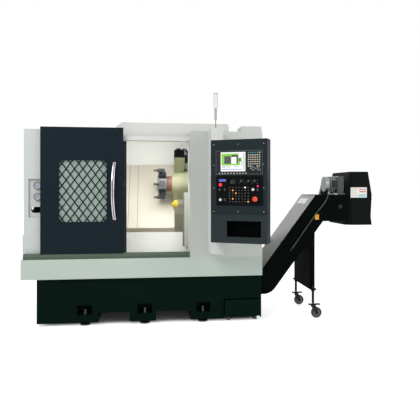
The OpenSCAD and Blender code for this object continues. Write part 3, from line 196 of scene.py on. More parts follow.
def pane(name):
    """Thin window pane that lets most light through."""
    m, nodes, links, shader, where = graph(name)
    smear = noise(nodes, links, where, 6, 3)
    tone = tint(nodes, links, smear, srgb(196, 208, 202), srgb(214, 224, 219))
    links.new(tone, shader.inputs["Base Color"])
    links.new(spread(nodes, links, smear, 0.04, 0.1), shader.inputs["Roughness"])
    clear = nodes.new("ShaderNodeBsdfTransparent")
    clear.inputs["Color"].default_value = (0.86, 0.93, 0.9, 1)
    mix = nodes.new("ShaderNodeMixShader")
    mix.inputs["Fac"].default_value = 0.3
    links.new(clear.outputs["BSDF"], mix.inputs[1])
    links.new(shader.outputs["BSDF"], mix.inputs[2])
    links.new(mix.outputs["Shader"], nodes["Material Output"].inputs["Surface"])
    return m


# Solids with two colours: the axis, the place on it and the colour beyond
# Painted light: the right cover beyond the column is written lighter for the light that falls on it,
# though its paint is one colour.
LIT_RIGHT_OF_COLUMN = ("X", at(1688, 0, 0).x, (202, 207, 202))
BOX_ABOVE_POCKET = ("Z", 1.003, (36, 45, 48))
TAILSTOCK_REAR = ("X", at(1441, 0, 0).x, (196, 198, 186))
COVER_ABOVE_LIP = ("Z", at(0, 0, 829).z, (228, 222, 205))
TURRET_BODY = ("X", at(1332, 0, 0).x, (170, 171, 138))
GEARBOX = ("X", at(2896, 0, 0).x, (58, 62, 63))

MATS = {
    "base": paint("base_enamel", (4, 22, 17), 0.42, 0.2, 380, 0.14, spec=0.03),
    "tank": paint("tank_enamel", (4, 23, 17), 0.4, 0.15, spec=0.03),
    "cover": paint("cover_enamel", (186, 198, 189), 0.42),
    "left": paint("left_cover_enamel", (198, 203, 199), 0.42),
    "hood": paint("hood_enamel", (214, 214, 211), 0.42),
    # Painted light: the column is the cover paint written lighter, for the light that falls on it.
    "column": paint("column_enamel_painted_light", (216, 218, 215), 0.42),
    # Right cover: the cover paint at a tone that evens out its light, with painted light on the part
    # right of the column.
    "right": paint("right_cover_enamel_painted_light", (188, 193, 187), 0.42, part=LIT_RIGHT_OF_COLUMN),
    "inner": paint("inner_enamel", (240, 240, 235), 0.35),
    # Painted light: the sill is the base's dark green written at the brightness it shows when lit from
    # above.
    "sill": paint("sill_enamel_painted_light", (66, 84, 69), 0.45),
    "door": paint("door_enamel", (27, 37, 43), 0.42, 0.08, spec=0.03),
    "box": paint("box_enamel", (46, 54, 56), 0.42, 0.08, spec=0.04, part=BOX_ABOVE_POCKET),
    "conveyor": paint("conveyor_enamel", (9, 14, 12), 0.62, 0.15, 420, 0.08, spec=0.01),
    "discharge": paint("discharge_enamel", (15, 21, 19), 0.5, 0.15, 420, 0.08, spec=0.03),
    "casting": paint("casting_enamel", (150, 152, 138), 0.5, 0.08, 260, 0.25),
    "tail": paint("tailstock_enamel", (124, 122, 104), 0.5, 0.08, 260, 0.25, part=TAILSTOCK_REAR),
    "slide": paint("slide_enamel", (178, 182, 146), 0.45),
    "way": paint("way_cover_enamel", (168, 158, 136), 0.42, 0.04, part=COVER_ABOVE_LIP),
    "turret": paint("turret_enamel", (138, 98, 78), 0.45, part=TURRET_BODY),
    "steel": steel("turned_steel", (176, 178, 180)),
    "disc": steel("disc_steel", (124, 125, 126)),
    "dark": steel("black_steel", (84, 86, 88), 0.4),
    "alloy": paint("motor_alloy", (150, 154, 154), 0.34, 0.06, 300, 0.15, metal=0.5, part=GEARBOX),
    "motor": paint("motor_enamel", (24, 25, 26), 0.4, 0.12, spec=0.2),
    "chrome": steel("chrome_plate", (204, 202, 204), 0.14, (1, 1, 30), 20),
    "gauge": paint("gauge_rim", (116, 120, 128), 0.3, 0.05, metal=0.6),
    "window": pane("window_pane"),
    "rubber": paint("black_rubber", (30, 34, 38), 0.7, 0.1, 300, 0.2, spec=0.15),
    "panel": paint("panel_film", (9, 11, 12), 0.4, 0.1, 700, 0.06, edge=0.0006, spec=0.05),
    "bezel": paint("bezel_film", (34, 38, 37), 0.38, 0.08, 700, 0.06, edge=0.0008, spec=0.12),
    "lamp": plastic("lamp_lens", (230, 232, 232), 0.25),
    "red": plastic("red_cap", (226, 72, 28), 0.28),
    "white": plastic("white_cap", (226, 228, 222), 0.28),
    "black": plastic("black_cap", (28, 29, 31), 0.35),
    "yellow": paint("yellow_enamel", (184, 166, 48), 0.4, 0.12),
    "wheel": plastic("wheel_tread", (40, 48, 45), 0.5),
}

LOOK = {
    "machine_base": "base", "levelling_feet": "dark", "slant_bed": "casting",
    "headstock": "casting", "way_cover": "way", "bed_cover": "inner", "front_apron": "cover",
    "door_rail": "sill", "door_top_rail": "hood", "left_cover": "left", "right_cover": "right",
    "hood": "hood", "rear_guard": "cover", "pressure_gauges": "gauge", "signal_light": "lamp",
    "electrical_cabinet": "cover", "control_column": "column", "conveyor_trough": "conveyor",
    "conveyor_belt": "dark", "discharge_cover": "discharge", "conveyor_gearmotor": "alloy",
    "door_panel": "door", "door_window": "window", "window_grille": "door",
    "door_handle": "chrome", "door_seal": "rubber", "spindle": "steel", "chuck_body": "steel",
    "chuck_cylinder": "steel", "chuck_jaw_1": "dark", "chuck_jaw_2": "dark",
    "chuck_jaw_3": "dark", "saddle": "slide", "saddle_cover": "way", "x_servo_motor": "motor",
    "cross_slide": "slide", "turret_housing": "turret", "turret_disc": "disc",
    "tool_holders": "dark", "tailstock_body": "tail", "tailstock_quill": "steel",
    "live_centre": "yellow", "control_box": "box", "cnc_unit": "bezel", "operator_plate": "panel",
    "emergency_stop": "red", "cycle_start": "white", "feed_hold": "black",
    "power_button": "white", "override_knob": "black", "conveyor_drive_shaft": "motor",
    "caster_fork_1": "motor", "caster_fork_2": "motor", "caster_wheel_1": "wheel",
    "caster_wheel_2": "wheel", "coolant_tank": "tank", "tank_axle_1": "dark",
    "tank_axle_2": "dark", "cabinet_door": "cover", "main_switch": "red",
}
for node, look in LOOK.items():
    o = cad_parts[node]
    o.data.materials.clear()
    o.data.materials.append(MATS[look])


# Pieces that dress the solids

PANEL = Matrix.Translation(at(*HINGE)) @ Matrix.Rotation(-SWING, 4, "Z")
IDENTITY = Matrix.Identity(4)


def piece(name, bm, body, look, place=IDENTITY, smooth=False):
    """Mesh piece from a bmesh in row-frame metres, moved by place, that rides on a body."""
    mesh = bpy.data.meshes.new(name)
    bm.transform(place)
    bmesh.ops.recalc_face_normals(bm, faces=bm.faces)
    for f in bm.faces:
        f.smooth = smooth
    bm.to_mesh(mesh)
    bm.free()
    mesh.materials.append(look)
    o = bpy.data.objects.new(name, mesh)
    bpy.context.scene.collection.objects.link(o)
    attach(o, body)
    return o


def add_box(bm, low, high, bevel=0.0):
    """Box between two corners, in metres, with rounded edges if asked."""
    size = [h - l for l, h in zip(low, high)]
    mid = [(l + h) / 2 for l, h in zip(low, high)]
    made = bmesh.ops.create_cube(bm, size=1.0)["verts"]
    for v in made:
        v.co = Vector([c * k + m for c, k, m in zip(v.co, size, mid)])
    if bevel:
        edges = list({e for v in made for e in v.link_edges})
        bmesh.ops.bevel(bm, geom=edges, offset=bevel, segments=2, affect="EDGES")


def add_disc(bm, mid, axis, radius, height, top=None, sides=24):
    """Short cylinder or cone along an axis, from mid outwards."""
    turn = Vector(axis).to_track_quat("Z", "Y").to_matrix().to_4x4()
    place = Matrix.Translation(Vector(mid) + Vector(axis) * height / 2) @ turn
    bmesh.ops.create_cone(
        bm, cap_ends=True, segments=sides, radius1=radius,
        radius2=radius if top is None else top, depth=height, matrix=place,
    )


def add_plate(bm, low, high, bevel=0.0):
    """Box between two corners given in millimetres of a local frame."""
    add_box(bm, [c / 1000 for c in low], [c / 1000 for c in high], bevel)


def on_face(x, z, out=0.0):
    """Point in front of the control box's face, in its own frame, in metres."""
    return Vector((x / 1000, (BOX_FRONT - out) / 1000, z / 1000))


def face_boxes(name, rects, out, high, look, bevel=0.0):
    """Flat pads on the control box: each rect is x0, z0, x1, z1 in millimetres."""
    bm = bmesh.new()
    for x0, z0, x1, z1 in rects:
        add_box(bm, on_face(x0, z0, out + high), on_face(x1, z1, out), bevel)
    piece(name, bm, "panel", look, PANEL)


def face_discs(name, spots, out, high, look, top, sides=24):
    """Tapered round pads on the control box: each spot is x, z, radius in millimetres."""
    bm = bmesh.new()
    for x, z, r in spots:
        add_disc(bm, on_face(x, z, out), (0, -1, 0), r / 1000, high / 1000, r * top / 1000, sides)
    piece(name, bm, "panel", look, PANEL)


def tube(name, points, radius, body, look):
    """Round cable along points of the row frame, fixed at both ends."""
    curve = bpy.data.curves.new(name, "CURVE")
    curve.dimensions = "3D"
    curve.bevel_depth = radius
    curve.bevel_resolution = 3
    line = curve.splines.new("BEZIER")
    line.bezier_points.add(len(points) - 1)
    for b, q in zip(line.bezier_points, points):
        b.co = q
        b.handle_left_type = b.handle_right_type = "AUTO"
    curve.materials.append(look)
    o = bpy.data.objects.new(name, curve)
    bpy.context.scene.collection.objects.link(o)
    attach(o, body)


def dress_screen():
    """Lit screen with generic windows, drawn as flat pads in layers on the glass."""
    tones = {
        "white": (226, 220, 230), "green": (112, 178, 48), "grey": (58, 56, 66),
        "blue": (110, 140, 214), "pale": (186, 190, 190),
    }
    glow = {k: plastic("screen_" + k, rgb, 0.5, 0.42, 0.04) for k, rgb in tones.items()}
    sheet, film = 0.6, 0.2
    low, middle, high = GLASS_AT + sheet, GLASS_AT + sheet + film, GLASS_AT + sheet + 2 * film
    layers = (
        ("white", "white", GLASS_AT, sheet, [(73, 587, 284, 744)]),
        ("green", "green", low, film, [(80, 636, 252, 733)]),
        ("window", "white", middle, film, [
            (166, 650, 208, 704), (80, 610, 252, 634), (226, 700, 252, 733), (238, 640, 246, 664),
        ]),
        ("grey", "grey", middle, film, [
            (104, 650, 160, 712), (166, 704, 222, 722), (208, 650, 222, 704),
            (230, 668, 244, 690), (88, 618, 108, 632),
        ]),
        ("blue", "blue", low, film, [(76, 600, 252, 606), (166, 618, 186, 632)]),
        ("pale", "pale", high, film, [
            (112, 618, 160, 632), (190, 618, 224, 634), (258, 600, 280, 736),
        ]),
    )
    for name, tone, out, thick, rects in layers:
        face_boxes("screen_" + name, rects, out, thick, glow[tone])


def dress_keys():
    """Keypad, soft keys, rim, plate lamps, legends, knobs and screws of the control box."""
    beige = plastic("key_beige", (196, 194, 180), 0.45)
    teal = plastic("key_teal", (52, 124, 128), 0.45)
    grey = plastic("key_grey", (118, 120, 116), 0.45)
    cols = [306 + 18 * i for i in range(6)]
    top_row = [(x, 732, x + 12, 742) for x in cols[:5]]
    field = [(cols[5], 732, cols[5] + 11, 742)]
    field += [(x, z, x + 11, z + 9) for z in range(641, 720, 18) for x in cols]
    field += [(x, 623, x + 11, 632) for x in cols[:2] + cols[4:]]
    arrows = [
        (342, 614, 358, 626), (342, 592, 358, 604), (322, 603, 338, 615), (362, 603, 378, 615),
        (384, 592, 398, 604), (384, 608, 398, 618), (402, 592, 412, 604),
    ]
    for name, rects, look in (("teal", top_row, teal), ("beige", field, beige), ("arrow", arrows, grey)):
        face_boxes("keys_" + name, rects, KEYS_AT, 2.5, look, 0.0006)
    soft = [(58 + 25 * i, 568, 70 + 25 * i, 575) for i in range(10)]
    face_boxes("soft_keys", soft, RIM_AT, 1.5, beige, 0.0004)

    lamps = {
        "orange": ((255, 150, 70), ((178, 432), (204, 409))),
        "amber": ((236, 178, 40), ((178, 363), (308, 340))),
        "bright": ((250, 246, 240), ((282, 455),)),
    }
    for k, (rgb, spots) in lamps.items():
        rects = [(x - 5, z - 5, x + 5, z + 5) for x, z in spots]
        face_boxes("key_lamp_" + k, rects, RIM_AT, 1, plastic("lamp_" + k, rgb, 0.3, 0.8))
    rim = [(32, 561, 35, 757), (425, 561, 428, 757), (35, 561, 425, 564), (35, 754, 425, 757)]
    rim_grey = plastic("rim_grey", (86, 94, 90), 0.35)
    face_boxes("bezel_rim", rim, RIM_AT, 1.2, rim_grey, 0.0004)
    legend = plastic("legend_white", (170, 174, 178), 0.5)
    lit = [spot for _, spots in lamps.values() for spot in spots]
    keys = [(152 + 26 * i, 340 + 23 * j) for i in range(7) for j in range(6)]
    dashes = [(x - 3, z - 1.5, x + 3, z + 1.5) for x, z in keys if (x, z) not in lit]
    face_boxes("key_legends", dashes, RIM_AT, 0.4, legend)

    counter_blue = plastic("counter_blue", (92, 96, 186), 0.3, 0.15)
    face_boxes("counter", [(59, 504, 118, 524)], KEYS_AT, 1, counter_blue)
    alarm_red = plastic("alarm_red", (240, 44, 50), 0.25, 0.55)
    face_discs("alarm_lamp", [(72, 478, 15)], KEYS_AT, 9, alarm_red, 0.85)
    hold_pink = plastic("hold_pink", (240, 40, 110), 0.25, 0.6)
    face_discs("hold_lamp", [(387, 466, 8)], KEYS_AT, 5, hold_pink, 0.8)
    knobs = [(67, 436, 10), (110, 436, 10), (111, 356, 13)]
    rise = SMALL_KNOB_TOP - KEYS_AT
    face_discs("small_knobs", knobs, KEYS_AT, rise, MATS["black"], 0.85)
    marks = [(66, 437, 68.5, 446), (109, 437, 111.5, 446)]
    face_boxes("knob_marks", marks, SMALL_KNOB_TOP, 0.6, legend)

    dials, dial_z, dial_r, dot = (180, 253, 312, 366), 498, 21, 1.1
    dots = []
    for x in dials:
        for k in range(9):
            a = math.radians(-30 + 30 * k)
            u, v = x + dial_r * math.cos(a), dial_z + dial_r * math.sin(a)
            dots.append((u - dot, v - dot, u + dot, v + dot))
    face_boxes("dial_marks", dots, KEYS_AT, 0.5, legend)
    pointers = [(x - 2, dial_z + 1, x + 2, dial_z + 13) for x in dials[1:]]
    face_boxes("fixed_pointers", pointers, SELECTOR_TOP, 0.6, legend)
    screws = [(x, z, 4.5) for x in (12, 222, 435) for z in (808, 259)]
    screws += [(x, z, 4.5) for x in (12, 435) for z in (640, 452)]
    face_discs("face_screws", screws, 0, 3, MATS["chrome"], 0.7, 16)


def dress_gauges():
    """Dials of the two pressure gauges."""
    dial, ink = plastic("dial_white", (178, 184, 194), 0.35), plastic("dial_ink", (38, 44, 60), 0.5)
    x, face_y, mark_r, front = 127, 68, 22, (0, -1, 0)
    bm, marks = bmesh.new(), bmesh.new()
    for z in (1242, 1143):
        add_disc(bm, at(x, face_y + 1, z), front, 0.0278, 0.001, sides=40)
        for k in range(11):
            a = math.radians(-45 + 27 * k)
            spot = at(x + mark_r * math.cos(a), face_y, z + mark_r * math.sin(a))
            add_disc(marks, spot, front, 0.0016, 0.0006, sides=8)
        add_disc(marks, at(x, face_y, z), front, 0.004, 0.002, sides=16)
        add_box(marks, at(x - 16, face_y - 0.8, z - 1), at(x, face_y, z + 1))
    piece("gauge_dials", bm, "frame", dial)
    piece("gauge_marks", marks, "frame", ink)


def dress_lamp():
    """Tube, ribbed lens and cap of the signal lamp on the control column."""
    x, y, column_top, up = 1686.5, -113, 1736, (0, 0, 1)
    tubes, ribs, cap = bmesh.new(), bmesh.new(), bmesh.new()
    add_disc(tubes, at(x, y, column_top + 91), up, 0.0106, 0.094, sides=32)
    add_disc(tubes, at(x, y, column_top + 12), up, 0.0068, 0.08, sides=32)
    for k in range(12):
        add_disc(ribs, at(x, y, column_top + 190 + 10 * k), up, 0.0198, 0.006, sides=32)
    add_disc(cap, at(x, y, column_top + 312), up, 0.0206, 0.0138, 0.018, 32)
    piece("lamp_tube", tubes, "frame", MATS["alloy"])
    piece("lamp_ribs", ribs, "frame", MATS["lamp"])
    piece("lamp_cap", cap, "frame", plastic("cap_grey", (120, 124, 124), 0.4))


# The rising part of the conveyor: its angle, the foot of its top sheet and its own frame
RISE = math.radians(53.2)
RISE_FOOT = (2148.0, 100.0, 452.0)
CHUTE = Matrix.Translation(at(*RISE_FOOT)) @ Matrix.Rotation(-RISE, 4, "Y")


def dress_conveyor():
    """Glossy top sheet with screws, plain label plates, clipped conduit and terminal box cover."""
    sheet = 3
    top = bmesh.new()
    add_plate(top, (6, 2, 0), (872, 438, sheet), 0.001)
    gloss = paint("gloss_black", (16, 17, 18), 0.13, 0.1, 300, 0.04, spec=0.9)
    gloss.node_tree.nodes["Principled BSDF"].inputs["IOR"].default_value = 2.1
    piece("chute_cover", top, "frame", gloss, CHUTE)
    label = paint("label_white", (226, 228, 224), 0.4, 0.02, edge=0.0)
    plates = bmesh.new()
    add_plate(plates, (768, 120, sheet), (830, 372, 4.2))
    piece("chute_label", plates, "frame", label, CHUTE)
    screws = bmesh.new()
    for k in range(5):
        for y in (14, 426):
            spot = (0.15 + 0.17 * k, y / 1000, sheet / 1000)
            add_disc(screws, spot, (0, 0, 1), 0.006, 0.003, 0.004, 12)
    piece("chute_screws", screws, "frame", MATS["dark"], CHUTE)

    card_y, print_y = 90.8, 90.3
    card = bmesh.new()
    add_box(card, at(3018, card_y, 1130), at(3180, 92, 1228))
    piece("cover_label", card, "frame", label)
    bars = {
        "red": ((206, 112, 106), ((3100, 1206, 3174, 1214), (3106, 1182, 3172, 1193))),
        "amber": ((218, 190, 120), ((3024, 1211, 3086, 1220), (3024, 1172, 3080, 1178))),
        "teal": ((164, 202, 202), ((3100, 1136, 3172, 1162),)),
        "grey": ((176, 180, 180), ((3024, 1193, 3080, 1198), (3024, 1148, 3090, 1153))),
    }
    for k, (rgb, spots) in bars.items():
        rows = bmesh.new()
        for x0, z0, x1, z1 in spots:
            add_box(rows, at(x0, print_y, z0), at(x1, card_y, z1))
        look = paint("label_" + k, rgb, 0.4, 0.04, edge=0.0)
        piece("label_bar_" + k, rows, "frame", look)
    tag = bmesh.new()
    add_box(tag, at(2668, 98.8, 922), at(2706, 100, 970))
    tag_yellow = paint("tag_yellow", (226, 160, 30), 0.4, 0.06, edge=0.0)
    piece("side_tag", tag, "frame", tag_yellow)

    box_end, bend = at(2842, 120, 1222), at(2800, 96, 1190)
    high, low = at(2788, 90, 1137), at(2424, 90, 629)
    route = [box_end, bend, high, high.lerp(low, 0.33), high.lerp(low, 0.67), low]
    grey = plastic("conduit_grey", (78, 80, 80), 0.4)
    tube("motor_conduit", route, 0.0042, "frame", grey)
    clips = bmesh.new()
    for k in range(5):
        c = high.lerp(low, 0.04 + 0.23 * k)
        before, behind = Vector((0.007, 0.006, 0.007)), Vector((0.007, 0.0105, 0.007))
        add_box(clips, c - before, c + behind, 0.001)
    piece("conduit_clips", clips, "frame", MATS["motor"])
    cover = bmesh.new()
    add_box(cover, at(2836, 100, 1222), at(2892, 104, 1296), 0.002)
    piece("terminal_cover", cover, "frame", MATS["motor"])


def dress_casters():
    """Black stem sleeves, brake pedals and pale hubs of the two casters."""
    hub = plastic("hub_green", (112, 134, 122), 0.45)
    stem_x, wheel_x, wheel_z = 2636, 2668, 50.3
    pedal_z, pedal_half, pedals = (121, 133), 15, ((2592, 2630), (2642, 2704))
    for k, y in ((1, 66), (2, 610)):
        stem, hubs = bmesh.new(), bmesh.new()
        add_disc(stem, at(stem_x, y, 140), (0, 0, 1), 0.0125, 0.11)
        for x0, x1 in pedals:
            low, high = at(x0, y - pedal_half, pedal_z[0]), at(x1, y + pedal_half, pedal_z[1])
            add_box(stem, low, high, 0.003)
        piece("caster_sleeve_%d" % k, stem, "fork_%d" % k, MATS["motor"])
        for side in (-1, 1):
            spot = at(wheel_x, y + side * 13, wheel_z)
            add_disc(hubs, spot, (0, side, 0), 0.027, 0.0014, 0.025, 32)
        piece("caster_hub_%d" % k, hubs, "wheel_%d" % k, hub)


def slope(x, a, b):
    """Point on the slanted ways: a along the slope and b out of it, from the spindle axis."""
    half = math.sqrt(0.5)
    return at(x, SPINDLE_Y + (a - b) * half, SPINDLE_Z + (a + b) * half)


WAYS = Matrix.Translation(at(0, SPINDLE_Y, SPINDLE_Z)) @ Matrix.Rotation(SLANT, 4, "X")


def bolt_ring(name, mid, facing, radius, count, start, body):
    """Hexagonal bolt heads round a line along X, facing along it."""
    bm = bmesh.new()
    for k in range(count):
        a = math.radians(start + 360 / count * k)
        spot = mid + Vector((0, radius * math.cos(a), radius * math.sin(a)))
        add_disc(bm, spot, (facing, 0, 0), 0.008, 0.005, sides=6)
    piece(name, bm, body, MATS["dark"])


def dress_work_area():
    """Work lamp, cover seams, servo connector with leads, turret and chuck bolts."""
    lamp = bmesh.new()
    add_box(lamp, at(830, 196, 1682), at(1430, 236, 1700), 0.003)
    lamp_strip = plastic("lamp_strip", (250, 250, 246), 0.3, 1.0)
    piece("work_lamp_bar", lamp, "frame", lamp_strip)
    seams = bmesh.new()
    for x in (790, 895, 985):
        add_plate(seams, (x, -116, -204.6), (x + 2.4, 794, -203.3))
    piece("cover_seams", seams, "frame", MATS["rubber"], WAYS)
    connector = bmesh.new()
    add_plate(connector, (1484, 704, -92), (1534, 772, -26), 0.005)
    add_plate(connector, (1390, 756, -6), (1448, 814, 15), 0.004)
    piece("servo_connector", connector, "saddle_unit", MATS["motor"], WAYS)
    for k, (a, b) in enumerate(((800, 6), (772, 4))):
        route = [
            slope(1446, a, b), slope(1486, a + 14, b + 12),
            slope(1522, a - 16, b - 14), slope(1514, 766, -40 - 20 * k),
        ]
        tube("servo_lead_%d" % (k + 1), route, 0.006, "saddle_unit", MATS["rubber"])
    bolt_ring("turret_bolts", slope(1195, 290, 0), -1, 0.082, 8, 22.5, "turret")
    bolt_ring("chuck_bolts", at(768, SPINDLE_Y, SPINDLE_Z), 1, 0.075, 3, 150, "spindle_unit")


def shade_cubby():
    """Near-black sheets inside the control box's open pocket: painted shade, standing for the shadow in
    it.
    """
    x0, z0, x1, z1 = 125.0, 53.0, 411.0, 181.0
    mouth, deep, skin = -2.0, -89.0, 1.0
    walls = (
        ((x0, z0, deep + skin), (x1, z1, deep)),
        ((x0, z0, mouth), (x1, z0 + skin, deep)),
        ((x0, z1 - skin, mouth), (x1, z1, deep)),
        ((x0, z0, mouth), (x0 + skin, z1, deep)),
        ((x1 - skin, z0, mouth), (x1, z1, deep)),
    )
    bm = bmesh.new()
    for low, high in walls:
        add_box(bm, on_face(*low), on_face(*high))
    # Painted shade: the sheets are near black where the pocket is only in shadow.
    look = paint("pocket_painted_shade", (6, 9, 9), 0.6, 0.1, spec=0.02, edge=0.0)
    piece("pocket_shade_sheets", bm, "panel", look, PANEL)


def dress_handle():
    """Smooth bow handle over the faceted solid, with a rounded section and a dull red strip in front: a
    painted reflection of dark surroundings in the chrome.
    """
    mid_x, mid_z, foot_y, half_h, bow, lean = 800.0, 1194.0, 19.0, 262.0, 64.0, 14.0
    rings, sides, wide, thick = 41, 20, 14.0, 6.5

    def squared(c):
        return math.copysign(abs(c) ** 0.7, c)

    def bar(section, first, last):
        """Closed bar with a section of x and y offsets, along the bow from ring to ring."""
        bm = bmesh.new()
        loops = []
        for i in range(first, last + 1):
            t = -1 + 2 * i / (rings - 1)
            rise = 1 - abs(t) ** 2.2
            x, y, z = mid_x - lean * rise, foot_y - bow * rise, mid_z + t * half_h
            loops.append([bm.verts.new(at(x + dx, y + dy, z)) for dx, dy in section])
        n = len(section)
        for one, two in zip(loops, loops[1:]):
            for j in range(n):
                bm.faces.new((one[j], one[(j + 1) % n], two[(j + 1) % n], two[j]))
        for loop in (loops[0], loops[-1]):
            bm.faces.new(loop)
        return bm

    turns = [2 * math.pi * j / sides for j in range(sides)]
    grip = [(squared(math.cos(a)) * wide, squared(math.sin(a)) * thick) for a in turns]
    half, sunk, proud = 4.5, 1 - thick, -0.5 - thick
    strip = [(-half, sunk), (-half, proud), (half, proud), (half, sunk)]
    # Painted reflection: a dull red strip down the front of the chrome bow.
    painted_reflection_red = plastic("painted_reflection_red", (104, 66, 70), 0.4)
    piece("handle_painted_reflection", bar(strip, 1, rings - 2), "door", painted_reflection_red)
    o = piece("handle_bow", bar(grip, 0, rings - 1), "door", MATS["chrome"], smooth=True)
    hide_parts("door_handle")


def dress_cabinet():
    """Ducts, drives and switchgear on the cabinet's mounting plate, and the door's lock."""
    plate_y = 1373.0
    left, right = 1380.0, 2050.0
    rows = (560.0, 870.0, 1170.0, 1600.0)
    drive_deep, contactor_deep, breaker_deep = 180, 84, 68
    looks = {
        "ducts": paint("duct_grey", (150, 153, 152), 0.5),
        "drives": paint("drive_ivory", (206, 205, 194), 0.45),
        "fronts": MATS["panel"],
        "contactors": MATS["motor"],
        "breakers": paint("breaker_white", (214, 216, 214), 0.4),
        "transformer": MATS["dark"],
        "terminals": paint("terminal_beige", (196, 186, 156), 0.5),
    }
    parts = {k: bmesh.new() for k in looks}

    def put(name, x, z, w, h, deep, start=0.0):
        """Block of one kind on the plate, or on another block that is start deep."""
        low, high = at(x, plate_y + start, z), at(x + w, plate_y + start + deep, z + h)
        add_box(parts[name], low, high, 0.0015)

    for z in rows:
        put("ducts", left, z, right - left, 40, 62)
    for x in (left - 14, right - 22):
        put("ducts", x, rows[0] + 41, 34, rows[-1] - rows[0] - 42, 58)
    for k, w in enumerate((110, 110, 110, 190)):
        x = left + 40 + 128 * k
        put("drives", x, rows[2] + 60, w, 330, drive_deep)
        put("fronts", x + 12, rows[2] + 210, w - 24, 150, 4, drive_deep)
        put("fronts", x + 12, rows[2] + 80, w - 24, 60, 3, drive_deep)
    for k in range(7):
        put("contactors", left + 40 + 50 * k, rows[1] + 90, 45, 86, contactor_deep)
        put("terminals", left + 46 + 50 * k, rows[1] + 118, 33, 28, 6, contactor_deep)
    for k in range(6):
        put("breakers", left + 410 + 37 * k, rows[1] + 92, 36, 84, breaker_deep)
        put("fronts", left + 422 + 37 * k, rows[1] + 122, 12, 22, 8, breaker_deep)
    put("transformer", left + 40, rows[0] + 64, 220, 170, 150)
    for k in range(24):
        put("terminals", left + 310 + 13 * k, rows[0] + 110, 12, 62, 46)
    for k, bm in parts.items():
        piece("cabinet_" + k, bm, "frame", looks[k])
    lock = bmesh.new()
    add_box(lock, at(2082, 1660, 1030), at(2108, 1668, 1170), 0.003)
    add_box(lock, at(2088, 1668, 1070), at(2102, 1684, 1160), 0.004)
    piece("cabinet_lock", lock, "back_door", MATS["motor"])


dress_cabinet()
dress_casters()
dress_work_area()
shade_cubby()
dress_handle()
dress_screen()
dress_keys()
dress_gauges()
dress_lamp()
dress_conveyor()

# Floor, light and camera


def seen_directly(nodes, links):
    """1 for rays from the camera, in mirrors and through glass, else 0."""
    path = nodes.new("ShaderNodeLightPath").outputs
    seen = calc(nodes, links, "MAXIMUM", path["Is Camera Ray"], path["Is Glossy Ray"])
    return calc(nodes, links, "MAXIMUM", seen, path["Is Transmission Ray"])


def under(nodes, links, where, low, high, soft):
    """Mask of the painted floor shadow: 1 below a box seen from above, fading to 0 over a soft edge
    inside it.
    """
    split = nodes.new("ShaderNodeSeparateXYZ")
    links.new(where, split.inputs["Vector"])
    inside = []
    for axis, a, b in zip("XY", low, high):
        away = calc(nodes, links, "SUBTRACT", split.outputs[axis], (a + b) / 2)
        fade = nodes.new("ShaderNodeMapRange")
        fade.interpolation_type = "SMOOTHSTEP"
        fade.inputs["From Min"].default_value = (b - a) / 2 - soft
        fade.inputs["From Max"].default_value = (b - a) / 2
        fade.inputs["To Min"].default_value = 1.0
        fade.inputs["To Max"].default_value = 0.0
        links.new(calc(nodes, links, "ABSOLUTE", away), fade.inputs["Value"])
        inside.append(fade.outputs["Result"])
    return calc(nodes, links, "MULTIPLY", *inside)


def make_floor():
    """Pale floor that takes the shadow and looks white directly, with a painted shadow under the base
    where its direct glow is turned down.
    """
    half, glow_level, painted_shadow_glow, soft = 40, 0.62, 0.02, 0.12
    mesh = bpy.data.meshes.new("floor")
    corners = [(-half, -half, 0), (half, -half, 0), (half, half, 0), (-half, half, 0)]
    mesh.from_pydata(corners, [], [(0, 1, 2, 3)])
    o = bpy.data.objects.new("floor", mesh)
    bpy.context.scene.collection.objects.link(o)
    m, nodes, links, shader, where = graph("floor_white")
    drift = noise(nodes, links, where, 0.6, 2)
    tone = tint(nodes, links, drift, (0.84, 0.84, 0.84), (0.88, 0.88, 0.88))
    links.new(tone, shader.inputs["Base Color"])
    shader.inputs["Roughness"].default_value = 0.9
    shader.inputs["Specular IOR Level"].default_value = 0.0
    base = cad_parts["machine_base"]
    feet = [base.matrix_world @ Vector(c) for c in base.bound_box]
    low, high = Vector(map(min, *feet)), Vector(map(max, *feet))
    # Painted shadow: under the base's footprint the floor's direct glow falls to painted_shadow_glow.
    shade = nodes.new("ShaderNodeMapRange")
    shade.inputs["To Min"].default_value = 1.0
    shade.inputs["To Max"].default_value = painted_shadow_glow
    links.new(under(nodes, links, where, low, high, soft), shade.inputs["Value"])
    level = calc(nodes, links, "MULTIPLY", seen_directly(nodes, links), glow_level)
    shown = calc(nodes, links, "MULTIPLY", level, shade.outputs["Result"])
    glow = nodes.new("ShaderNodeEmission")
    links.new(shown, glow.inputs["Strength"])
    add = nodes.new("ShaderNodeAddShader")
    links.new(shader.outputs["BSDF"], add.inputs[0])
    links.new(glow.outputs["Emission"], add.inputs[1])
    links.new(add.outputs["Shader"], nodes["Material Output"].inputs["Surface"])
    mesh.materials.append(m)


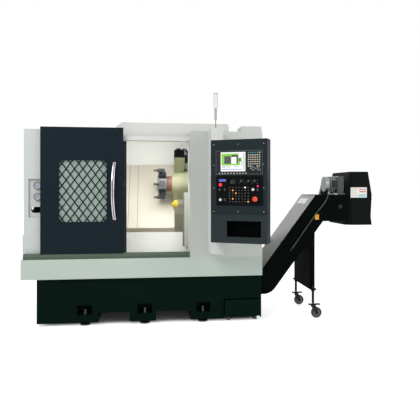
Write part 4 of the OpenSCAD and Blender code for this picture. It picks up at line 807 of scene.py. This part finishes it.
def make_world():
    """White surroundings, dimmer as light than as seen directly."""
    w = bpy.data.worlds.new("studio")
    bpy.context.scene.world = w
    w.use_nodes = True
    nodes, links = w.node_tree.nodes, w.node_tree.links
    back = nodes["Background"]
    back.inputs["Color"].default_value = (1, 1, 1, 1)
    level = nodes.new("ShaderNodeMapRange")
    level.inputs["To Min"].default_value = 0.55
    level.inputs["To Max"].default_value = 1.0
    links.new(seen_directly(nodes, links), level.inputs["Value"])
    links.new(level.outputs["Result"], back.inputs["Strength"])


def area(name, place, aim, size, power):
    """White rectangular lamp at a place, facing its aim."""
    data = bpy.data.lights.new(name, "AREA")
    data.shape = "RECTANGLE"
    data.size, data.size_y = size
    data.energy = power
    o = bpy.data.objects.new(name, data)
    o.location = place
    o.rotation_mode = "QUATERNION"
    o.rotation_quaternion = (Vector(aim) - Vector(place)).to_track_quat("-Z", "Y")
    bpy.context.scene.collection.objects.link(o)


def make_camera():
    """Level camera as in the photograph, with focal length and rise in its pixels."""
    picture, focal, rise, sensor = 420, 490, -20, 36
    yaw = math.radians(7)
    data = bpy.data.cameras.new("camera")
    data.sensor_width = sensor
    data.lens = focal / picture * sensor
    data.shift_y = rise / picture
    o = bpy.data.objects.new("camera", data)
    o.location = at(1110, -4400, 1203)
    look = Vector((math.sin(yaw), math.cos(yaw), 0))
    o.rotation_mode = "QUATERNION"
    o.rotation_quaternion = look.to_track_quat("-Z", "Y")
    bpy.context.scene.collection.objects.link(o)
    bpy.context.scene.camera = o


make_floor()
make_world()
area("key", (-3.2, -4.6, 4.4), (0, 0, 0.9), (3.0, 3.0), 150)
area("fill", (3.6, -4.2, 2.8), (0.2, 0, 0.8), (3.0, 3.0), 70)
area("back", (0.5, 4.5, 4.5), (0, 0, 0.9), (4.0, 3.0), 120)
area("work_lamp", at(1130, 215, 1640), at(1130, 800, 1330), (0.6, 0.08), 3.7)
area("work_fill", at(1130, 130, 1300), at(1150, 330, 600), (0.5, 0.3), 1.8)
area("skirt_fill", at(1040, 140, 650), at(1010, 430, 680), (0.6, 0.08), 0.24)
make_camera()
bpy.context.scene.view_settings.view_transform = "Standard"
